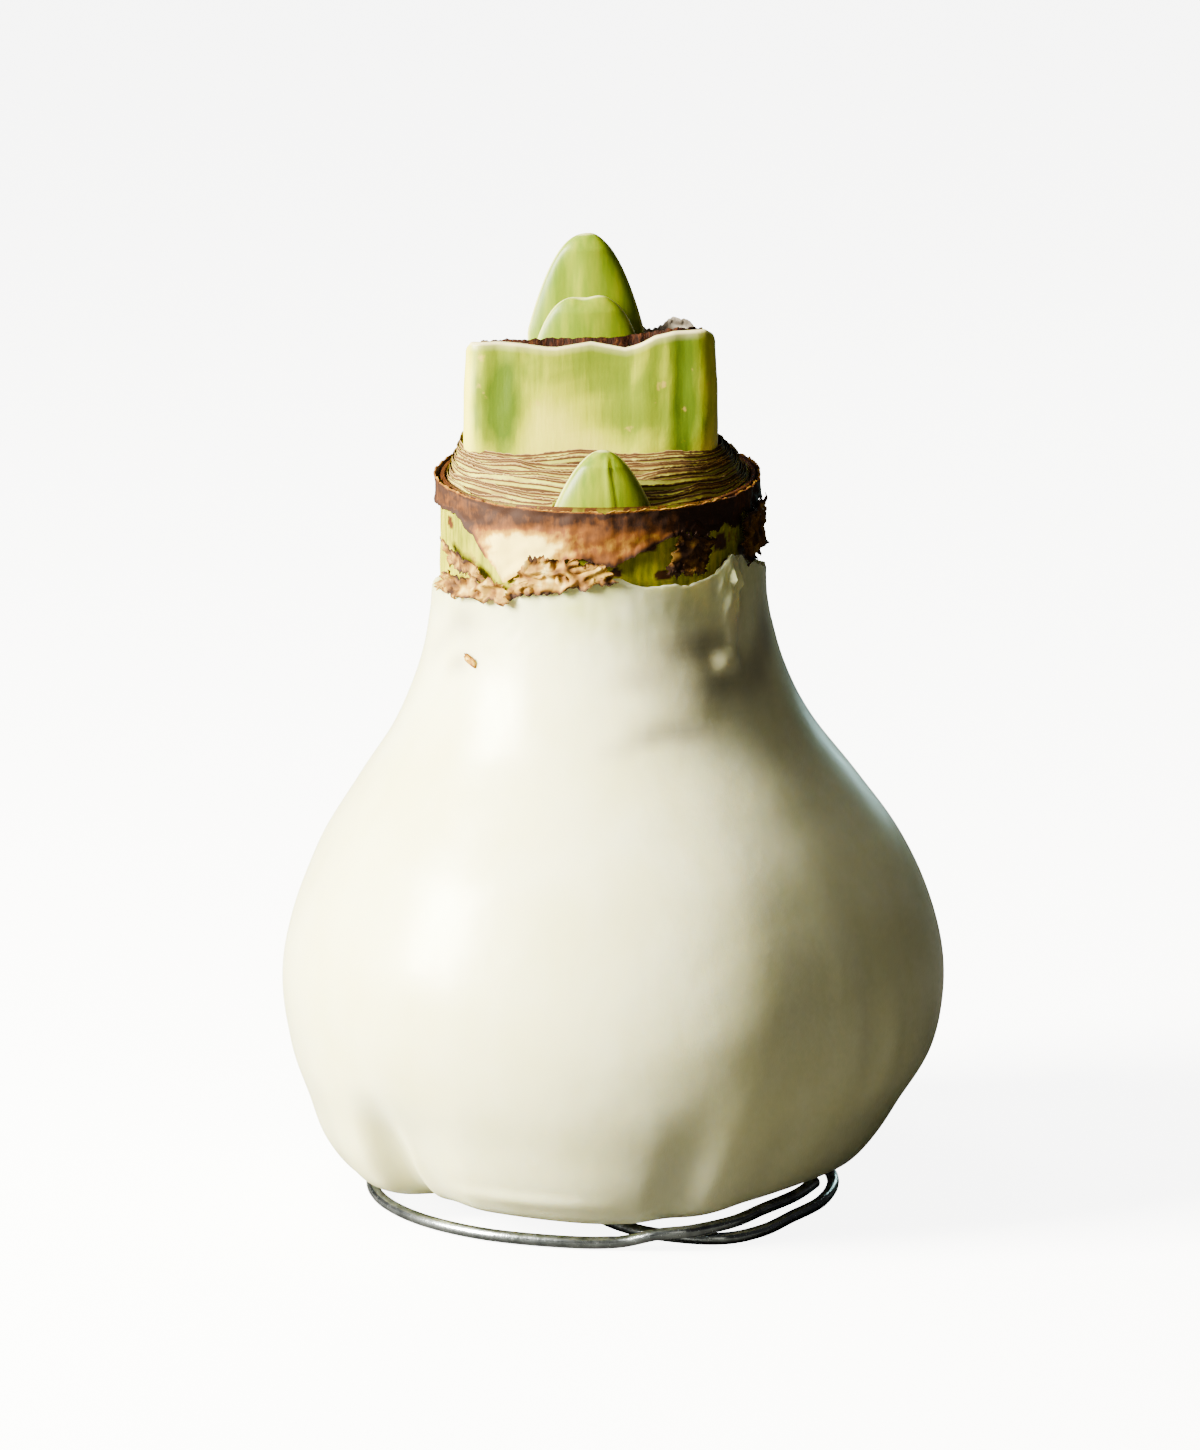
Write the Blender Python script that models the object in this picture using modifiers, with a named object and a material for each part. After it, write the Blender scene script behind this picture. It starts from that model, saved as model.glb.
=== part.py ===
"""Waxed amaryllis bulb on a bent wire stand.

Units are metres and +Z is up. The origin is on the surface that the stand
rests on, under the middle of the bulb. The front of the bulb faces -Y.
Lengths at the top are in millimetres, and MM turns them into metres.
"""
import math

import bmesh
import bpy
from mathutils import Vector
from mathutils.geometry import interpolate_bezier

MM = 0.001
GAP = 0.3

# Wire stand
WIRE_DIAMETER = 1.8
RING_RADIUS = 33.8
RING_CENTRE = (-1.4, 0.0)
SPIKE_TOP = 24.0
CROSSING_RISE = WIRE_DIAMETER + GAP
WIRE_SIDES = 8
FACET_TURN = math.pi / WIRE_SIDES

# Wax coat: half widths of the belly against height, from the base's hole to the neck
WAX_PROFILE = [
    (1.7, 3.4), (12.0, 3.1), (24.0, 2.5), (31.5, 2.3), (36.6, 3.7), (40.6, 8.2), (43.6, 14.5),
    (47.0, 23.0), (48.3, 32.0), (46.9, 41.0), (42.6, 51.8), (36.6, 61.0), (30.4, 69.7),
    (26.6, 78.0), (24.7, 86.0), (24.2, 93.0),
]
WAX_ROWS_PER_SPAN = 2
WAX_SEGMENTS = 44
WAX_THICKNESS = 1.0
NECK_Z = 93.0
NECK_SHIFT = -1.9
BASE_SHIFT = -1.6
LEAN_START_Z = 42.0

# Bulb flesh inside the wax
BULB_INSET = 2.9
FLESH_RADIUS = 22.7
RIM_HEIGHT = 106.1
RIM_SLOPE = 0.085
RECESS_RADIUS = 22.0
RECESS_FLOOR = 96.0
BULB_SEGMENTS = 44

# Cut scales inside the neck
SCALE_COUNT = 6
SCALE_GAP = 0.26
SCALE_RISE = 4.2
SCALE_SEGMENTS = 44

# Tall collar
SHEATH_CENTRE = (-3.1, -0.3)
SHEATH_HALF_WIDTH = 18.4
SHEATH_HALF_DEPTH = 7.8
SHEATH_SQUARENESS = 2.7
SHEATH_WALL = 1.5
SHEATH_TOP = 125.6
MEMBRANE_WALL = 0.5

# Papery skin on the neck
TUNIC_RADIUS = 23.05
TUNIC_THICKNESS = 0.35
NECK_CENTRE = (-2.1, 0.0)

COLLECTION = "waxed_amaryllis_bulb"


def clear_scene():
    for item in list(bpy.data.objects):
        bpy.data.objects.remove(item, do_unlink=True)


def new_collection(name):
    collection = bpy.data.collections.new(name)
    bpy.context.scene.collection.children.link(collection)
    return collection


def material(name, colour, roughness, metallic=0.0):
    made = bpy.data.materials.new(name)
    made.use_nodes = True
    shader = made.node_tree.nodes["Principled BSDF"]
    shader.inputs["Base Color"].default_value = (*colour, 1.0)
    shader.inputs["Roughness"].default_value = roughness
    shader.inputs["Metallic"].default_value = metallic
    return made


def add_mesh_object(name, mesh, look, collection):
    mesh.materials.append(look)
    mesh.shade_smooth()
    made = bpy.data.objects.new(name, mesh)
    collection.objects.link(made)
    return made


def smooth_line(points, rows):
    """A smooth line through points, with rows steps from each point to the next."""
    vectors = [Vector(p) for p in points]
    line = []
    for i in range(len(vectors) - 1):
        before = vectors[max(i - 1, 0)]
        start = vectors[i]
        end = vectors[i + 1]
        after = vectors[min(i + 2, len(vectors) - 1)]
        handle_out = start + (end - before) / 6
        handle_in = end - (after - start) / 6
        line.extend(interpolate_bezier(start, handle_out, handle_in, end, rows + 1)[:-1])
    line.append(vectors[-1])
    return line


def bell(value, centre, half_width):
    """1 at the centre, smoothly down to 0 at half_width on either side."""
    away = min(abs(value - centre) / half_width, 1.0)
    return 0.5 + 0.5 * math.cos(math.pi * away)


def angle_bell(angle, centre, half_width):
    turn = (angle - math.radians(centre) + math.pi) % (2 * math.pi) - math.pi
    return bell(turn, 0.0, math.radians(half_width))


def ramp(value, low, high):
    t = min(max((value - low) / (high - low), 0.0), 1.0)
    return t * t * (3 - 2 * t)


def lean(z):
    """Sideways shift of the section at height z."""
    return NECK_SHIFT * ramp(z, LEAN_START_Z, NECK_Z) + BASE_SHIFT * (1 - ramp(z, 4.0, 26.0))


def wax_rim(angle):
    """How much higher the wax's top edge is than the profile's end."""
    return -1.4 + 3.0 * math.cos(angle + math.radians(62)) - 0.5 * math.sin(5 * angle)


def shape_bulb(radius, angle, z, folds):
    """The bulb's lopsided form: a turned point is moved to its place."""
    base = 1 - ramp(z, 4.0, 34.0)
    side = ramp(radius, 14.0, 26.0)
    swell = -3.4 * angle_bell(angle, -124, 13) * base
    swell += -3.0 * angle_bell(angle, -62, 12) * base
    swell += 1.6 * angle_bell(angle, -46, 16) * base
    swell += 1.2 * angle_bell(angle, -146, 22) * base
    swell += -1.6 * angle_bell(angle, 38, 16) * base
    swell += -1.8 * angle_bell(angle, 118, 18) * base
    swell += 0.5 * math.sin(3 * angle + 0.6) * bell(z, 46, 30)
    rise = 2.7 * angle_bell(angle, -36, 62) * side * (1 - ramp(z, 8.0, 24.0))
    reach = radius + folds * swell * side
    deep = 0.975 + 0.025 * ramp(z, 60.0, NECK_Z)
    shift = lean(z) * ramp(radius, 3.0, 20.0)
    return Vector((shift + reach * math.cos(angle), deep * reach * math.sin(angle), z + rise))


def spun_mesh(name, profile, segments, place):
    """Turns a profile about Z, moves each point by place(radius, angle, z) and closes the poles."""
    mesh = bpy.data.meshes.new(name)
    work = bmesh.new()
    line = [work.verts.new((radius * MM, 0.0, z * MM)) for radius, z in profile]
    edges = [work.edges.new(pair) for pair in zip(line, line[1:])]
    bmesh.ops.spin(work, geom=line + edges, cent=(0, 0, 0), axis=(0, 0, 1),
                   angle=2 * math.pi, steps=segments, use_merge=True)
    bmesh.ops.remove_doubles(work, verts=work.verts, dist=1e-6)
    for vert in work.verts:
        radius = math.hypot(vert.co.x, vert.co.y) / MM
        angle = math.atan2(vert.co.y, vert.co.x)
        vert.co = place(radius, angle, vert.co.z / MM) * MM
    bmesh.ops.recalc_face_normals(work, faces=work.faces)
    work.to_mesh(mesh)
    work.free()
    return mesh


def turn_faces_out(mesh):
    work = bmesh.new()
    work.from_mesh(mesh)
    bmesh.ops.recalc_face_normals(work, faces=work.faces)
    if work.calc_volume(signed=True) < 0:
        bmesh.ops.reverse_faces(work, faces=work.faces)
    work.to_mesh(mesh)
    work.free()


def loft(name, rings, look, collection, hollow=False):
    """Skins closed rings of equal count: capped at both ends, or hollow with the ends joined."""
    work = bmesh.new()
    loops = [[work.verts.new(Vector(p) * MM) for p in ring] for ring in rings]
    count = len(loops[0])
    pairs = list(zip(loops, loops[1:]))
    if hollow:
        pairs.append((loops[-1], loops[0]))
    for low, high in pairs:
        for k in range(count):
            n = (k + 1) % count
            work.faces.new((low[k], low[n], high[n], high[k]))
    if not hollow:
        work.faces.new(loops[0])
        work.faces.new(loops[-1])
    mesh = bpy.data.meshes.new(name)
    work.to_mesh(mesh)
    work.free()
    turn_faces_out(mesh)
    return add_mesh_object(name, mesh, look, collection)


def rim_z(y):
    """Height of the neck's slanting cut."""
    return RIM_HEIGHT + RIM_SLOPE * y


def add_wax(look, collection):
    top = WAX_PROFILE[-1][1]

    def place(radius, angle, z):
        point = shape_bulb(radius, angle, z, folds=1.0)
        point.z += wax_rim(angle) * ramp(z, 80.0, top)
        return point

    profile = smooth_line([(r, 0, z) for r, z in WAX_PROFILE], WAX_ROWS_PER_SPAN)
    mesh = spun_mesh("wax_coat", [(p.x, p.z) for p in profile], WAX_SEGMENTS, place)
    outward = max(mesh.polygons, key=lambda face: face.center.x)
    if outward.normal.x < 0:
        mesh.flip_normals()
    wax = add_mesh_object("wax_coat", mesh, look, collection)
    wall = wax.modifiers.new("wall", "SOLIDIFY")
    wall.thickness = WAX_THICKNESS * MM
    wall.offset = -1.0
    return wax


def add_bulb(look, collection):
    bore = WIRE_DIAMETER / 2 + GAP
    wax = smooth_line([(r, 0, z) for r, z in WAX_PROFILE], WAX_ROWS_PER_SPAN)
    outline = [(0.0, SPIKE_TOP + GAP), (bore, SPIKE_TOP + GAP), (bore, 6.4), (4.0, 6.3)]
    for i in range(4, len(wax) - 2, 2):
        along = (wax[i + 1] - wax[i - 1]).normalized()
        inset = Vector((-along.z, 0, along.x)) * BULB_INSET
        near_neck = ramp(wax[i].z, 58.0, 84.0)
        outline.append((wax[i].x + inset.x * (1 - 0.25 * near_neck), wax[i].z + inset.z * (1 - near_neck)))
    outline = [(r, z) for r, z in outline if z < 78.0]
    outline += [(FLESH_RADIUS, 89.0), (FLESH_RADIUS, 98.0), (FLESH_RADIUS, RIM_HEIGHT),
                (RECESS_RADIUS, RIM_HEIGHT), (RECESS_RADIUS, RECESS_FLOOR), (0.0, RECESS_FLOOR)]

    def place(radius, angle, z):
        if z > 88.0:
            x = NECK_CENTRE[0] + radius * math.cos(angle)
            y = NECK_CENTRE[1] + radius * math.sin(angle)
            cut = rim_z(y) - RIM_HEIGHT if z > RIM_HEIGHT - 1 else 0.0
            return Vector((x, y, z + cut))
        return shape_bulb(radius, angle, z, folds=0.9)

    mesh = spun_mesh("bulb_body", outline, BULB_SEGMENTS, place)
    turn_faces_out(mesh)
    return add_mesh_object("bulb_body", mesh, look, collection)


def oval(half_width, half_depth, angle):
    """A point on the collar's rounded oblong outline."""
    c = math.cos(angle)
    s = math.sin(angle)
    power = 2 / SHEATH_SQUARENESS
    return (SHEATH_CENTRE[0] + half_width * math.copysign(abs(c) ** power, c),
            SHEATH_CENTRE[1] + half_depth * math.copysign(abs(s) ** power, s))


def scale_outline(share, angle, offset):
    """Between the neck's round wall (share 0) and the collar's oblong (share 1)."""
    flat = oval(SHEATH_HALF_WIDTH + GAP, SHEATH_HALF_DEPTH + GAP, angle)
    wall = Vector((NECK_CENTRE[0] + (RECESS_RADIUS - GAP / 2) * math.cos(angle),
                   NECK_CENTRE[1] + (RECESS_RADIUS - GAP / 2) * math.sin(angle), 0))
    point = wall.lerp(Vector((*flat, 0)), share)
    middle = Vector((NECK_CENTRE[0], NECK_CENTRE[1], 0))
    return point + (point - middle).normalized() * offset


def scale_top(share, point, index):
    angle = math.atan2(point.y - NECK_CENTRE[1], point.x - NECK_CENTRE[0])
    ragged = 0.25 * math.sin(7 * angle + 2.1 * index) + 0.15 * math.sin(13 * angle + index)
    return rim_z(point.y) + SCALE_RISE * share + ragged


def add_scales(look, collection):
    made = []
    for index in range(SCALE_COUNT):
        outer_share = index / SCALE_COUNT
        inner_share = (index + 1) / SCALE_COUNT
        rings = [[], [], [], []]
        for k in range(SCALE_SEGMENTS):
            angle = 2 * math.pi * k / SCALE_SEGMENTS
            outer = scale_outline(outer_share, angle, -SCALE_GAP / 2)
            inner = scale_outline(inner_share, angle, SCALE_GAP / 2)
            floor = RECESS_FLOOR + GAP
            rings[0].append((outer.x, outer.y, floor))
            rings[1].append((outer.x, outer.y, scale_top(outer_share, outer, index)))
            rings[2].append((inner.x, inner.y, scale_top(outer_share, inner, index)))
            rings[3].append((inner.x, inner.y, floor))
        made.append(loft(f"neck_scale_{index + 1}", rings, look, collection, hollow=True))
    return made


def flute(angle):
    """Shallow upright ribs on the collar's wall."""
    return 0.22 * math.sin(9 * angle + 0.8) + 0.12 * math.sin(17 * angle)


def sheath_top(x, y):
    """The collar's wavy cut."""
    along = (x - SHEATH_CENTRE[0]) / SHEATH_HALF_WIDTH
    wave = 1.2 * along + 0.55 * math.sin(4.2 * along + 2.0)
    corner = 1.8 * ramp(abs(along), 0.86, 1.0)
    return SHEATH_TOP + wave - corner + 0.04 * y


def tube_rings(half_width, half_depth, wall, top_drop, ribs, segments=48):
    rings = [[], [], [], []]
    floor = RECESS_FLOOR + GAP
    for k in range(segments):
        angle = 2 * math.pi * k / segments
        rib = ribs * flute(angle)
        ox, oy = oval(half_width + min(rib, 0), half_depth + rib, angle)
        ix, iy = oval(half_width + min(rib, 0) - wall, half_depth + rib - wall, angle)
        rings[0].append((ox, oy, floor))
        rings[1].append((ox, oy, sheath_top(ox, oy) - top_drop))
        rings[2].append((ix, iy, sheath_top(ox, oy) - top_drop))
        rings[3].append((ix, iy, floor))
    return rings


def add_sheath(look, collection):
    rings = tube_rings(SHEATH_HALF_WIDTH, SHEATH_HALF_DEPTH - 0.34, SHEATH_WALL, 0.0, 1.0)
    return loft("leaf_sheath", rings, look, collection, hollow=True)


def add_membrane(look, collection):
    inset = SHEATH_WALL + GAP
    rings = tube_rings(SHEATH_HALF_WIDTH - inset, SHEATH_HALF_DEPTH - 0.34 - inset, MEMBRANE_WALL, 1.3, 1.0)
    return loft("inner_membrane", rings, look, collection, hollow=True)


def leaf_rings(centre, half_width, half_thick, low, tip, blunt, grow=0.0, rows=9, count=14):
    """A flat, blunt leaf tip: lens-shaped sections that close in towards the tip."""
    rings = []
    for row in range(rows + 1):
        t = row / rows
        z = low + (tip - low) * (1 - (1 - t) ** 1.7)
        near_tip = max((z - (tip - blunt)) / blunt, 0.0)
        full = math.sqrt(max(1 - near_tip ** 2.2, 0.0025))
        ring = []
        for k in range(count):
            angle = 2 * math.pi * k / count
            x = centre[0] + (half_width * full + grow) * math.cos(angle)
            y = centre[1] + (half_thick * math.sqrt(full) + grow) * math.sin(angle)
            ring.append((x, y, z + (grow if row == rows else 0)))
        rings.append(ring)
    return rings


def add_leaves(look, collection):
    floor = RECESS_FLOOR + GAP
    tall = leaf_rings((-3.8, 1.9), 8.4, 1.9, floor, 140.7, 22.0)
    short = leaf_rings((-3.4, -2.3), 7.6, 1.7, floor, 131.9, 11.0)
    loft("leaf_tall", tall, look, collection)
    loft("leaf_short", short, look, collection)


def add_side_shoot(look, scales, collection, cutters):
    """The shoot stands in a slot that it has pushed open in the two outer scales."""
    place = (-1.0, -19.6)
    floor = RECESS_FLOOR + GAP
    loft("side_shoot", leaf_rings(place, 6.9, 1.9, floor, 111.9, 9.0), look, collection)
    slot = loft("shoot_slot", leaf_rings(place, 6.9, 1.9, floor - 2.0, 116.0, 4.0, grow=GAP), look, cutters)
    slot.hide_render = True
    slot.display_type = "WIRE"
    for scale in scales[:2]:
        cut = scale.modifiers.new("shoot slot", "BOOLEAN")
        cut.operation = "DIFFERENCE"
        cut.solver = "EXACT"
        cut.object = slot


def neck_sheet(name, start, end, bottom, top, look, collection, columns=14, rows=3, stand_off=0.0, flare=None):
    """A scrap of papery skin bent round the neck, from one angle to another in degrees."""
    mesh = bpy.data.meshes.new(name)
    work = bmesh.new()
    bmesh.ops.create_grid(work, x_segments=columns, y_segments=rows, size=0.5)
    for vert in work.verts:
        across = vert.co.x + 0.5
        up = vert.co.y + 0.5
        degrees = start + (end - start) * across
        angle = math.radians(degrees)
        low = bottom(across)
        high = top(across, angle)
        z = low + (high - low) * up
        out = TUNIC_RADIUS + stand_off + (flare(across, up) if flare else 0.0)
        vert.co = Vector((NECK_CENTRE[0] + out * math.cos(angle), NECK_CENTRE[1] + out * math.sin(angle), z)) * MM
    work.faces.ensure_lookup_table()
    work.normal_update()
    face = work.faces[0]
    middle = face.calc_center_median()
    if face.normal.x * (middle.x - NECK_CENTRE[0] * MM) + face.normal.y * middle.y < 0:
        bmesh.ops.reverse_faces(work, faces=work.faces)
    work.to_mesh(mesh)
    work.free()
    sheet = add_mesh_object(name, mesh, look, collection)
    wall = sheet.modifiers.new("paper", "SOLIDIFY")
    wall.thickness = TUNIC_THICKNESS * MM
    wall.offset = 1.0
    return sheet


def rim_top(across, angle):
    return rim_z(NECK_CENTRE[1] + TUNIC_RADIUS * math.sin(angle)) - 0.1


def add_tunic(look, collection):
    def torn(across):
        # Deep in front, a narrow strip at the right and left, and half deep behind.
        degrees = -176 + 350 * across
        front = 6.2 * bell(degrees, -103, 34)
        behind = 5.0 * bell(degrees, 95, 75)
        nibbles = 0.4 * math.sin(61 * across) + 0.3 * math.sin(97 * across + 1)
        return 103.0 - front - behind + nibbles + 1.5 * bell(degrees, 95, 90)

    neck_sheet("outer_tunic", -176, 174, torn, rim_top, look, collection, columns=64, rows=3)

    def flap(low, high, name, start, end, ripple, columns=6, stand_off=0.0, flare=None):
        def bottom(across):
            return low + ripple * math.sin(9 * across + start)

        def top(across, angle):
            return high + ripple * math.sin(7 * across + end)

        neck_sheet(name, start, end, bottom, top, look, collection, columns, 2, stand_off, flare)

    flap(94.6, 97.2, "tunic_flake_left", -157, -142, 0.4)
    flap(93.6, 95.1, "tunic_flake_front_left", -140, -124, 0.25)
    flap(95.4, 96.5, "tunic_flake_front", -116, -92, 0.15, columns=10)
    flap(95.6, 99.2, "tunic_flake_right", -63, -51, 0.4)
    flap(97.2, 101.6, "tunic_flake_corner", -26, -8, 0.4, flare=lambda across, up: 1.2 * across * across)


def add_chip(look, collection):
    """A chip of skin caught on the wax, low on the neck at the left."""
    angle = math.radians(-133)
    centre = shape_bulb(26.2, angle, 80.4, 1.0)
    out = Vector((math.cos(angle), math.sin(angle), 0.18)).normalized()
    work = bmesh.new()
    bmesh.ops.create_cube(work, size=1.0)
    for vert in work.verts:
        vert.co = Vector((vert.co.x * 2.4, vert.co.y * 0.5, vert.co.z * 1.5 + 0.5 * vert.co.x)) * MM
    mesh = bpy.data.meshes.new("tunic_chip")
    work.to_mesh(mesh)
    work.free()
    chip = add_mesh_object("tunic_chip", mesh, look, collection)
    chip.location = (centre + out * 0.35) * MM
    chip.rotation_euler = out.to_track_quat("Y", "Z").to_euler()
    return chip


def add_shred(look, collection):
    """A thin curled scrap that stands behind the collar's right end."""
    work = bmesh.new()
    bmesh.ops.create_grid(work, x_segments=8, y_segments=3, size=0.5)
    for vert in work.verts:
        across = vert.co.x + 0.5
        up = vert.co.y + 0.5
        x = 5.0 + 6.5 * across
        back = SHEATH_CENTRE[1] + 4.2 - 2.0 * across * across
        z = 112.0 + up * (16.0 + 0.5 * math.sin(6 * across) - 1.3 * across)
        vert.co = Vector((x, back, z)) * MM
    mesh = bpy.data.meshes.new("sheath_shred")
    work.to_mesh(mesh)
    work.free()
    shred = add_mesh_object("sheath_shred", mesh, look, collection)
    wall = shred.modifiers.new("paper", "SOLIDIFY")
    wall.thickness = 0.3 * MM
    wall.offset = 0.0
    return shred


def wire_route():
    """The wire's middle line: spike, run out to the front, round the ring and over itself."""
    floor = WIRE_DIAMETER / 2 * math.cos(FACET_TURN)
    high = floor + CROSSING_RISE
    run_out = [(0.0, 0.0, SPIKE_TOP), (0.0, 0.0, 14.0), (0.0, 0.0, 5.5), (-0.2, -0.9, 2.4), (-0.6, -3.2, floor + 0.3),
               (-0.9, -6.5, floor + 0.03),
               (-1.4, -11.0, floor), (-2.2, -18.9, floor), (3.4, -27.2, floor), (10.6, -31.2, floor),
               (16.6, -31.4, floor), (21.6, -27.2, floor), (25.6, -20.4, floor)]
    ring = []
    for degrees in range(-20, 261, 20):
        angle = math.radians(degrees)
        ring.append((RING_CENTRE[0] + RING_RADIUS * math.cos(angle),
                     RING_CENTRE[1] + RING_RADIUS * math.sin(angle), floor))
    ring += [(0.6, -34.2, floor + 0.2), (6.4, -35.4, high - 0.4), (11.4, -34.8, high), (17.2, -30.0, high),
             (21.4, -23.6, high), (26.4, -16.0, high), (29.4, -8.8, high)]
    return run_out + ring


def add_wire(look, collection):
    line = smooth_line(wire_route(), 2)
    curve = bpy.data.curves.new("wire_stand", "CURVE")
    curve.dimensions = "3D"
    curve.bevel_depth = WIRE_DIAMETER / 2 * MM
    curve.bevel_resolution = 2
    curve.use_fill_caps = True
    curve.twist_mode = "Z_UP"
    spline = curve.splines.new("POLY")
    spline.points.add(len(line) - 1)
    for point, place in zip(spline.points, line):
        point.co = (*(place * MM), 1.0)
        point.tilt = FACET_TURN
    curve.materials.append(look)
    wire = bpy.data.objects.new("wire_stand", curve)
    collection.objects.link(wire)
    return wire


def build():
    clear_scene()
    parts = new_collection(COLLECTION)
    cutters = new_collection("cutters")
    wire = material("galvanised_wire", (0.55, 0.58, 0.60), 0.35, 1.0)
    wax = material("cream_wax", (0.86, 0.84, 0.72), 0.3)
    flesh = material("bulb_flesh", (0.55, 0.62, 0.22), 0.5)
    scale = material("cut_scale", (0.50, 0.42, 0.24), 0.75)
    green = material("leaf_green", (0.50, 0.66, 0.14), 0.4)
    brown = material("brown_membrane", (0.16, 0.07, 0.03), 0.85)
    paper = material("papery_skin", (0.33, 0.16, 0.07), 0.8)
    grey = material("grey_paper", (0.42, 0.36, 0.33), 0.7)
    add_wire(wire, parts)
    add_wax(wax, parts)
    add_bulb(flesh, parts)
    scales = add_scales(scale, parts)
    add_sheath(green, parts)
    add_membrane(brown, parts)
    add_shred(grey, parts)
    add_leaves(green, parts)
    add_side_shoot(green, scales, parts, cutters)
    add_tunic(paper, parts)
    add_chip(paper, parts)


build()
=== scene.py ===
# %% [markdown]
# # A waxed amaryllis bulb on its wire ring
#
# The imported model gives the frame: every piece at its real place and size, in metres.
# This lesson keeps those places and makes the surfaces that the eye sees: poured wax,
# cut scales, torn papery skin, fresh leaf tips and a zinc-coated wire. The pieces' sizes
# are written in millimetres and MM turns them into metres; lights and camera are in metres.

# %% Load the frame
import math

import bpy
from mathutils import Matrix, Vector, noise
from mathutils.geometry import interpolate_bezier


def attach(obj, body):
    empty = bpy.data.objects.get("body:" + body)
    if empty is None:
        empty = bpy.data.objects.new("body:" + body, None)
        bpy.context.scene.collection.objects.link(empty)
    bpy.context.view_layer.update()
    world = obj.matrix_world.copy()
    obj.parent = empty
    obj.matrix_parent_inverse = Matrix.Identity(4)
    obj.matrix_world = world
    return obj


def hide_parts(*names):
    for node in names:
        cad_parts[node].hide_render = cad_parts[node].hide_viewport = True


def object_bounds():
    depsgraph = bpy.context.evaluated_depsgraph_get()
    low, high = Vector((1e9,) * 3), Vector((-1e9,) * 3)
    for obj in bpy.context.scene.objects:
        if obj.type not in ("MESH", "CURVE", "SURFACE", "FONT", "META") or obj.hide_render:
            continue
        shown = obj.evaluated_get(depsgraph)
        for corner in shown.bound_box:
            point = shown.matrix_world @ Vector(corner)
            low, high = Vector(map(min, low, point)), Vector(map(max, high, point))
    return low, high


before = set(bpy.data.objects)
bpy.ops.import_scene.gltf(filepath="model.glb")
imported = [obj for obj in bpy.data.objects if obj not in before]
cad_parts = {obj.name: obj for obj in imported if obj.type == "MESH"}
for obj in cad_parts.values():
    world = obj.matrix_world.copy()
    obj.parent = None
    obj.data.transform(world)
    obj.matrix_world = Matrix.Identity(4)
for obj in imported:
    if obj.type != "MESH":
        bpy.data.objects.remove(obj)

CAD_BOX = [list(map(float, corner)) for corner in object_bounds()]
MM = 0.001
print("CAD box", CAD_BOX)

# %% [markdown]
# ## Small tools
#
# Colours are written the way a paint chart gives them, as sRGB hex, and turned linear by
# one function. One helper adds a shader node with its settings and its links, and
# another sets the shader itself, by plain values or by links.

# %% Colour and node helpers
def srgb(code, alpha=1.0):
    channels = [int(code[i:i + 2], 16) / 255 for i in (1, 3, 5)]
    linear = [c / 12.92 if c <= 0.04045 else ((c + 0.055) / 1.055) ** 2.4 for c in channels]
    return (*linear, alpha)


def add_node(tree, kind, sockets=None, stops=None, **settings):
    """A shader node with its settings; a socket takes a plain value or another node's output."""
    made = tree.nodes.new(kind)
    for name, value in settings.items():
        setattr(made, name, value)
    for socket, value in (sockets or {}).items():
        if isinstance(value, bpy.types.NodeSocket):
            tree.links.new(value, made.inputs[socket])
        else:
            made.inputs[socket].default_value = value
    if stops:
        elements = made.color_ramp.elements
        while len(elements) < len(stops):
            elements.new(0.5)
        for element, (place, colour) in zip(elements, stops):
            element.position = place
            element.color = srgb(colour)
    return made


def new_material(name):
    """A material, its node tree, its shader and the piece's own coordinates."""
    made = bpy.data.materials.new(name)
    made.use_nodes = True
    tree = made.node_tree
    place = add_node(tree, "ShaderNodeTexCoord").outputs["Object"]
    return made, tree, tree.nodes["Principled BSDF"], place


def set_shader(shader, **values):
    """Sets the shader's sockets; a value that is another node's output is linked."""
    for name, value in values.items():
        socket = shader.inputs[name.replace("_", " ")]
        if isinstance(value, bpy.types.NodeSocket):
            shader.id_data.links.new(value, socket)
        else:
            socket.default_value = value


def per_mm(size):
    """Noise scale for features of this size in millimetres, as Object coordinates are metres."""
    return 1.0 / (size * MM)

# %% [markdown]
# ### Rules
#
# Grown things have no straight line in them, so their forms are rules: a soft step, a
# soft hump, a line given by its points and noise whose features have a size in millimetres.

# %% Rules for shapes
def ramp(value, low, high):
    t = min(max((value - low) / (high - low), 0.0), 1.0)
    return t * t * (3 - 2 * t)


def bell(value, centre, half_width):
    away = min(abs(value - centre) / half_width, 1.0)
    return 0.5 + 0.5 * math.cos(math.pi * away)


def turn_between(angle, degrees):
    """Signed turn in degrees from one direction to another, between -180 and 180."""
    return (math.degrees(angle) - degrees + 180) % 360 - 180


def round_bell(angle, degrees, half_width):
    return bell(turn_between(angle, degrees), 0.0, half_width)


def along(points, x):
    """The height of a line given by points at x: points in order of x, joined by straight lines."""
    if x <= points[0][0]:
        return points[0][1]
    for (x0, y0), (x1, y1) in zip(points, points[1:]):
        if x <= x1:
            return y0 + (y1 - y0) * (x - x0) / (x1 - x0)
    return points[-1][1]


def grain(x, y, z, size, octaves=3):
    """Smooth noise between about -1 and 1 with features of this size in millimetres."""
    return noise.fractal(Vector((x, y, z)) / size, 0.6, 2.1, octaves)


def ripple(spot, size, shift=(0, 0, 0)):
    """One plain noise at a spot, with waves of this size in millimetres."""
    return noise.noise(spot / size + Vector(shift))


def ring_grain(angle, z, size, octaves=3, seed=0.0):
    """The same noise on a cylinder of the neck's width, so that it meets itself at the back."""
    return grain(24 * math.cos(angle) + seed, 24 * math.sin(angle), z, size, octaves)


def smooth_line(points, rows):
    vectors = [Vector(p) for p in points]
    line = []
    for i in range(len(vectors) - 1):
        before = vectors[max(i - 1, 0)]
        after = vectors[min(i + 2, len(vectors) - 1)]
        start = vectors[i]
        end = vectors[i + 1]
        line.extend(interpolate_bezier(start, start + (end - before) / 6, end - (after - start) / 6,
                                       end, rows + 1)[:-1])
    line.append(vectors[-1])
    return line

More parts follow.
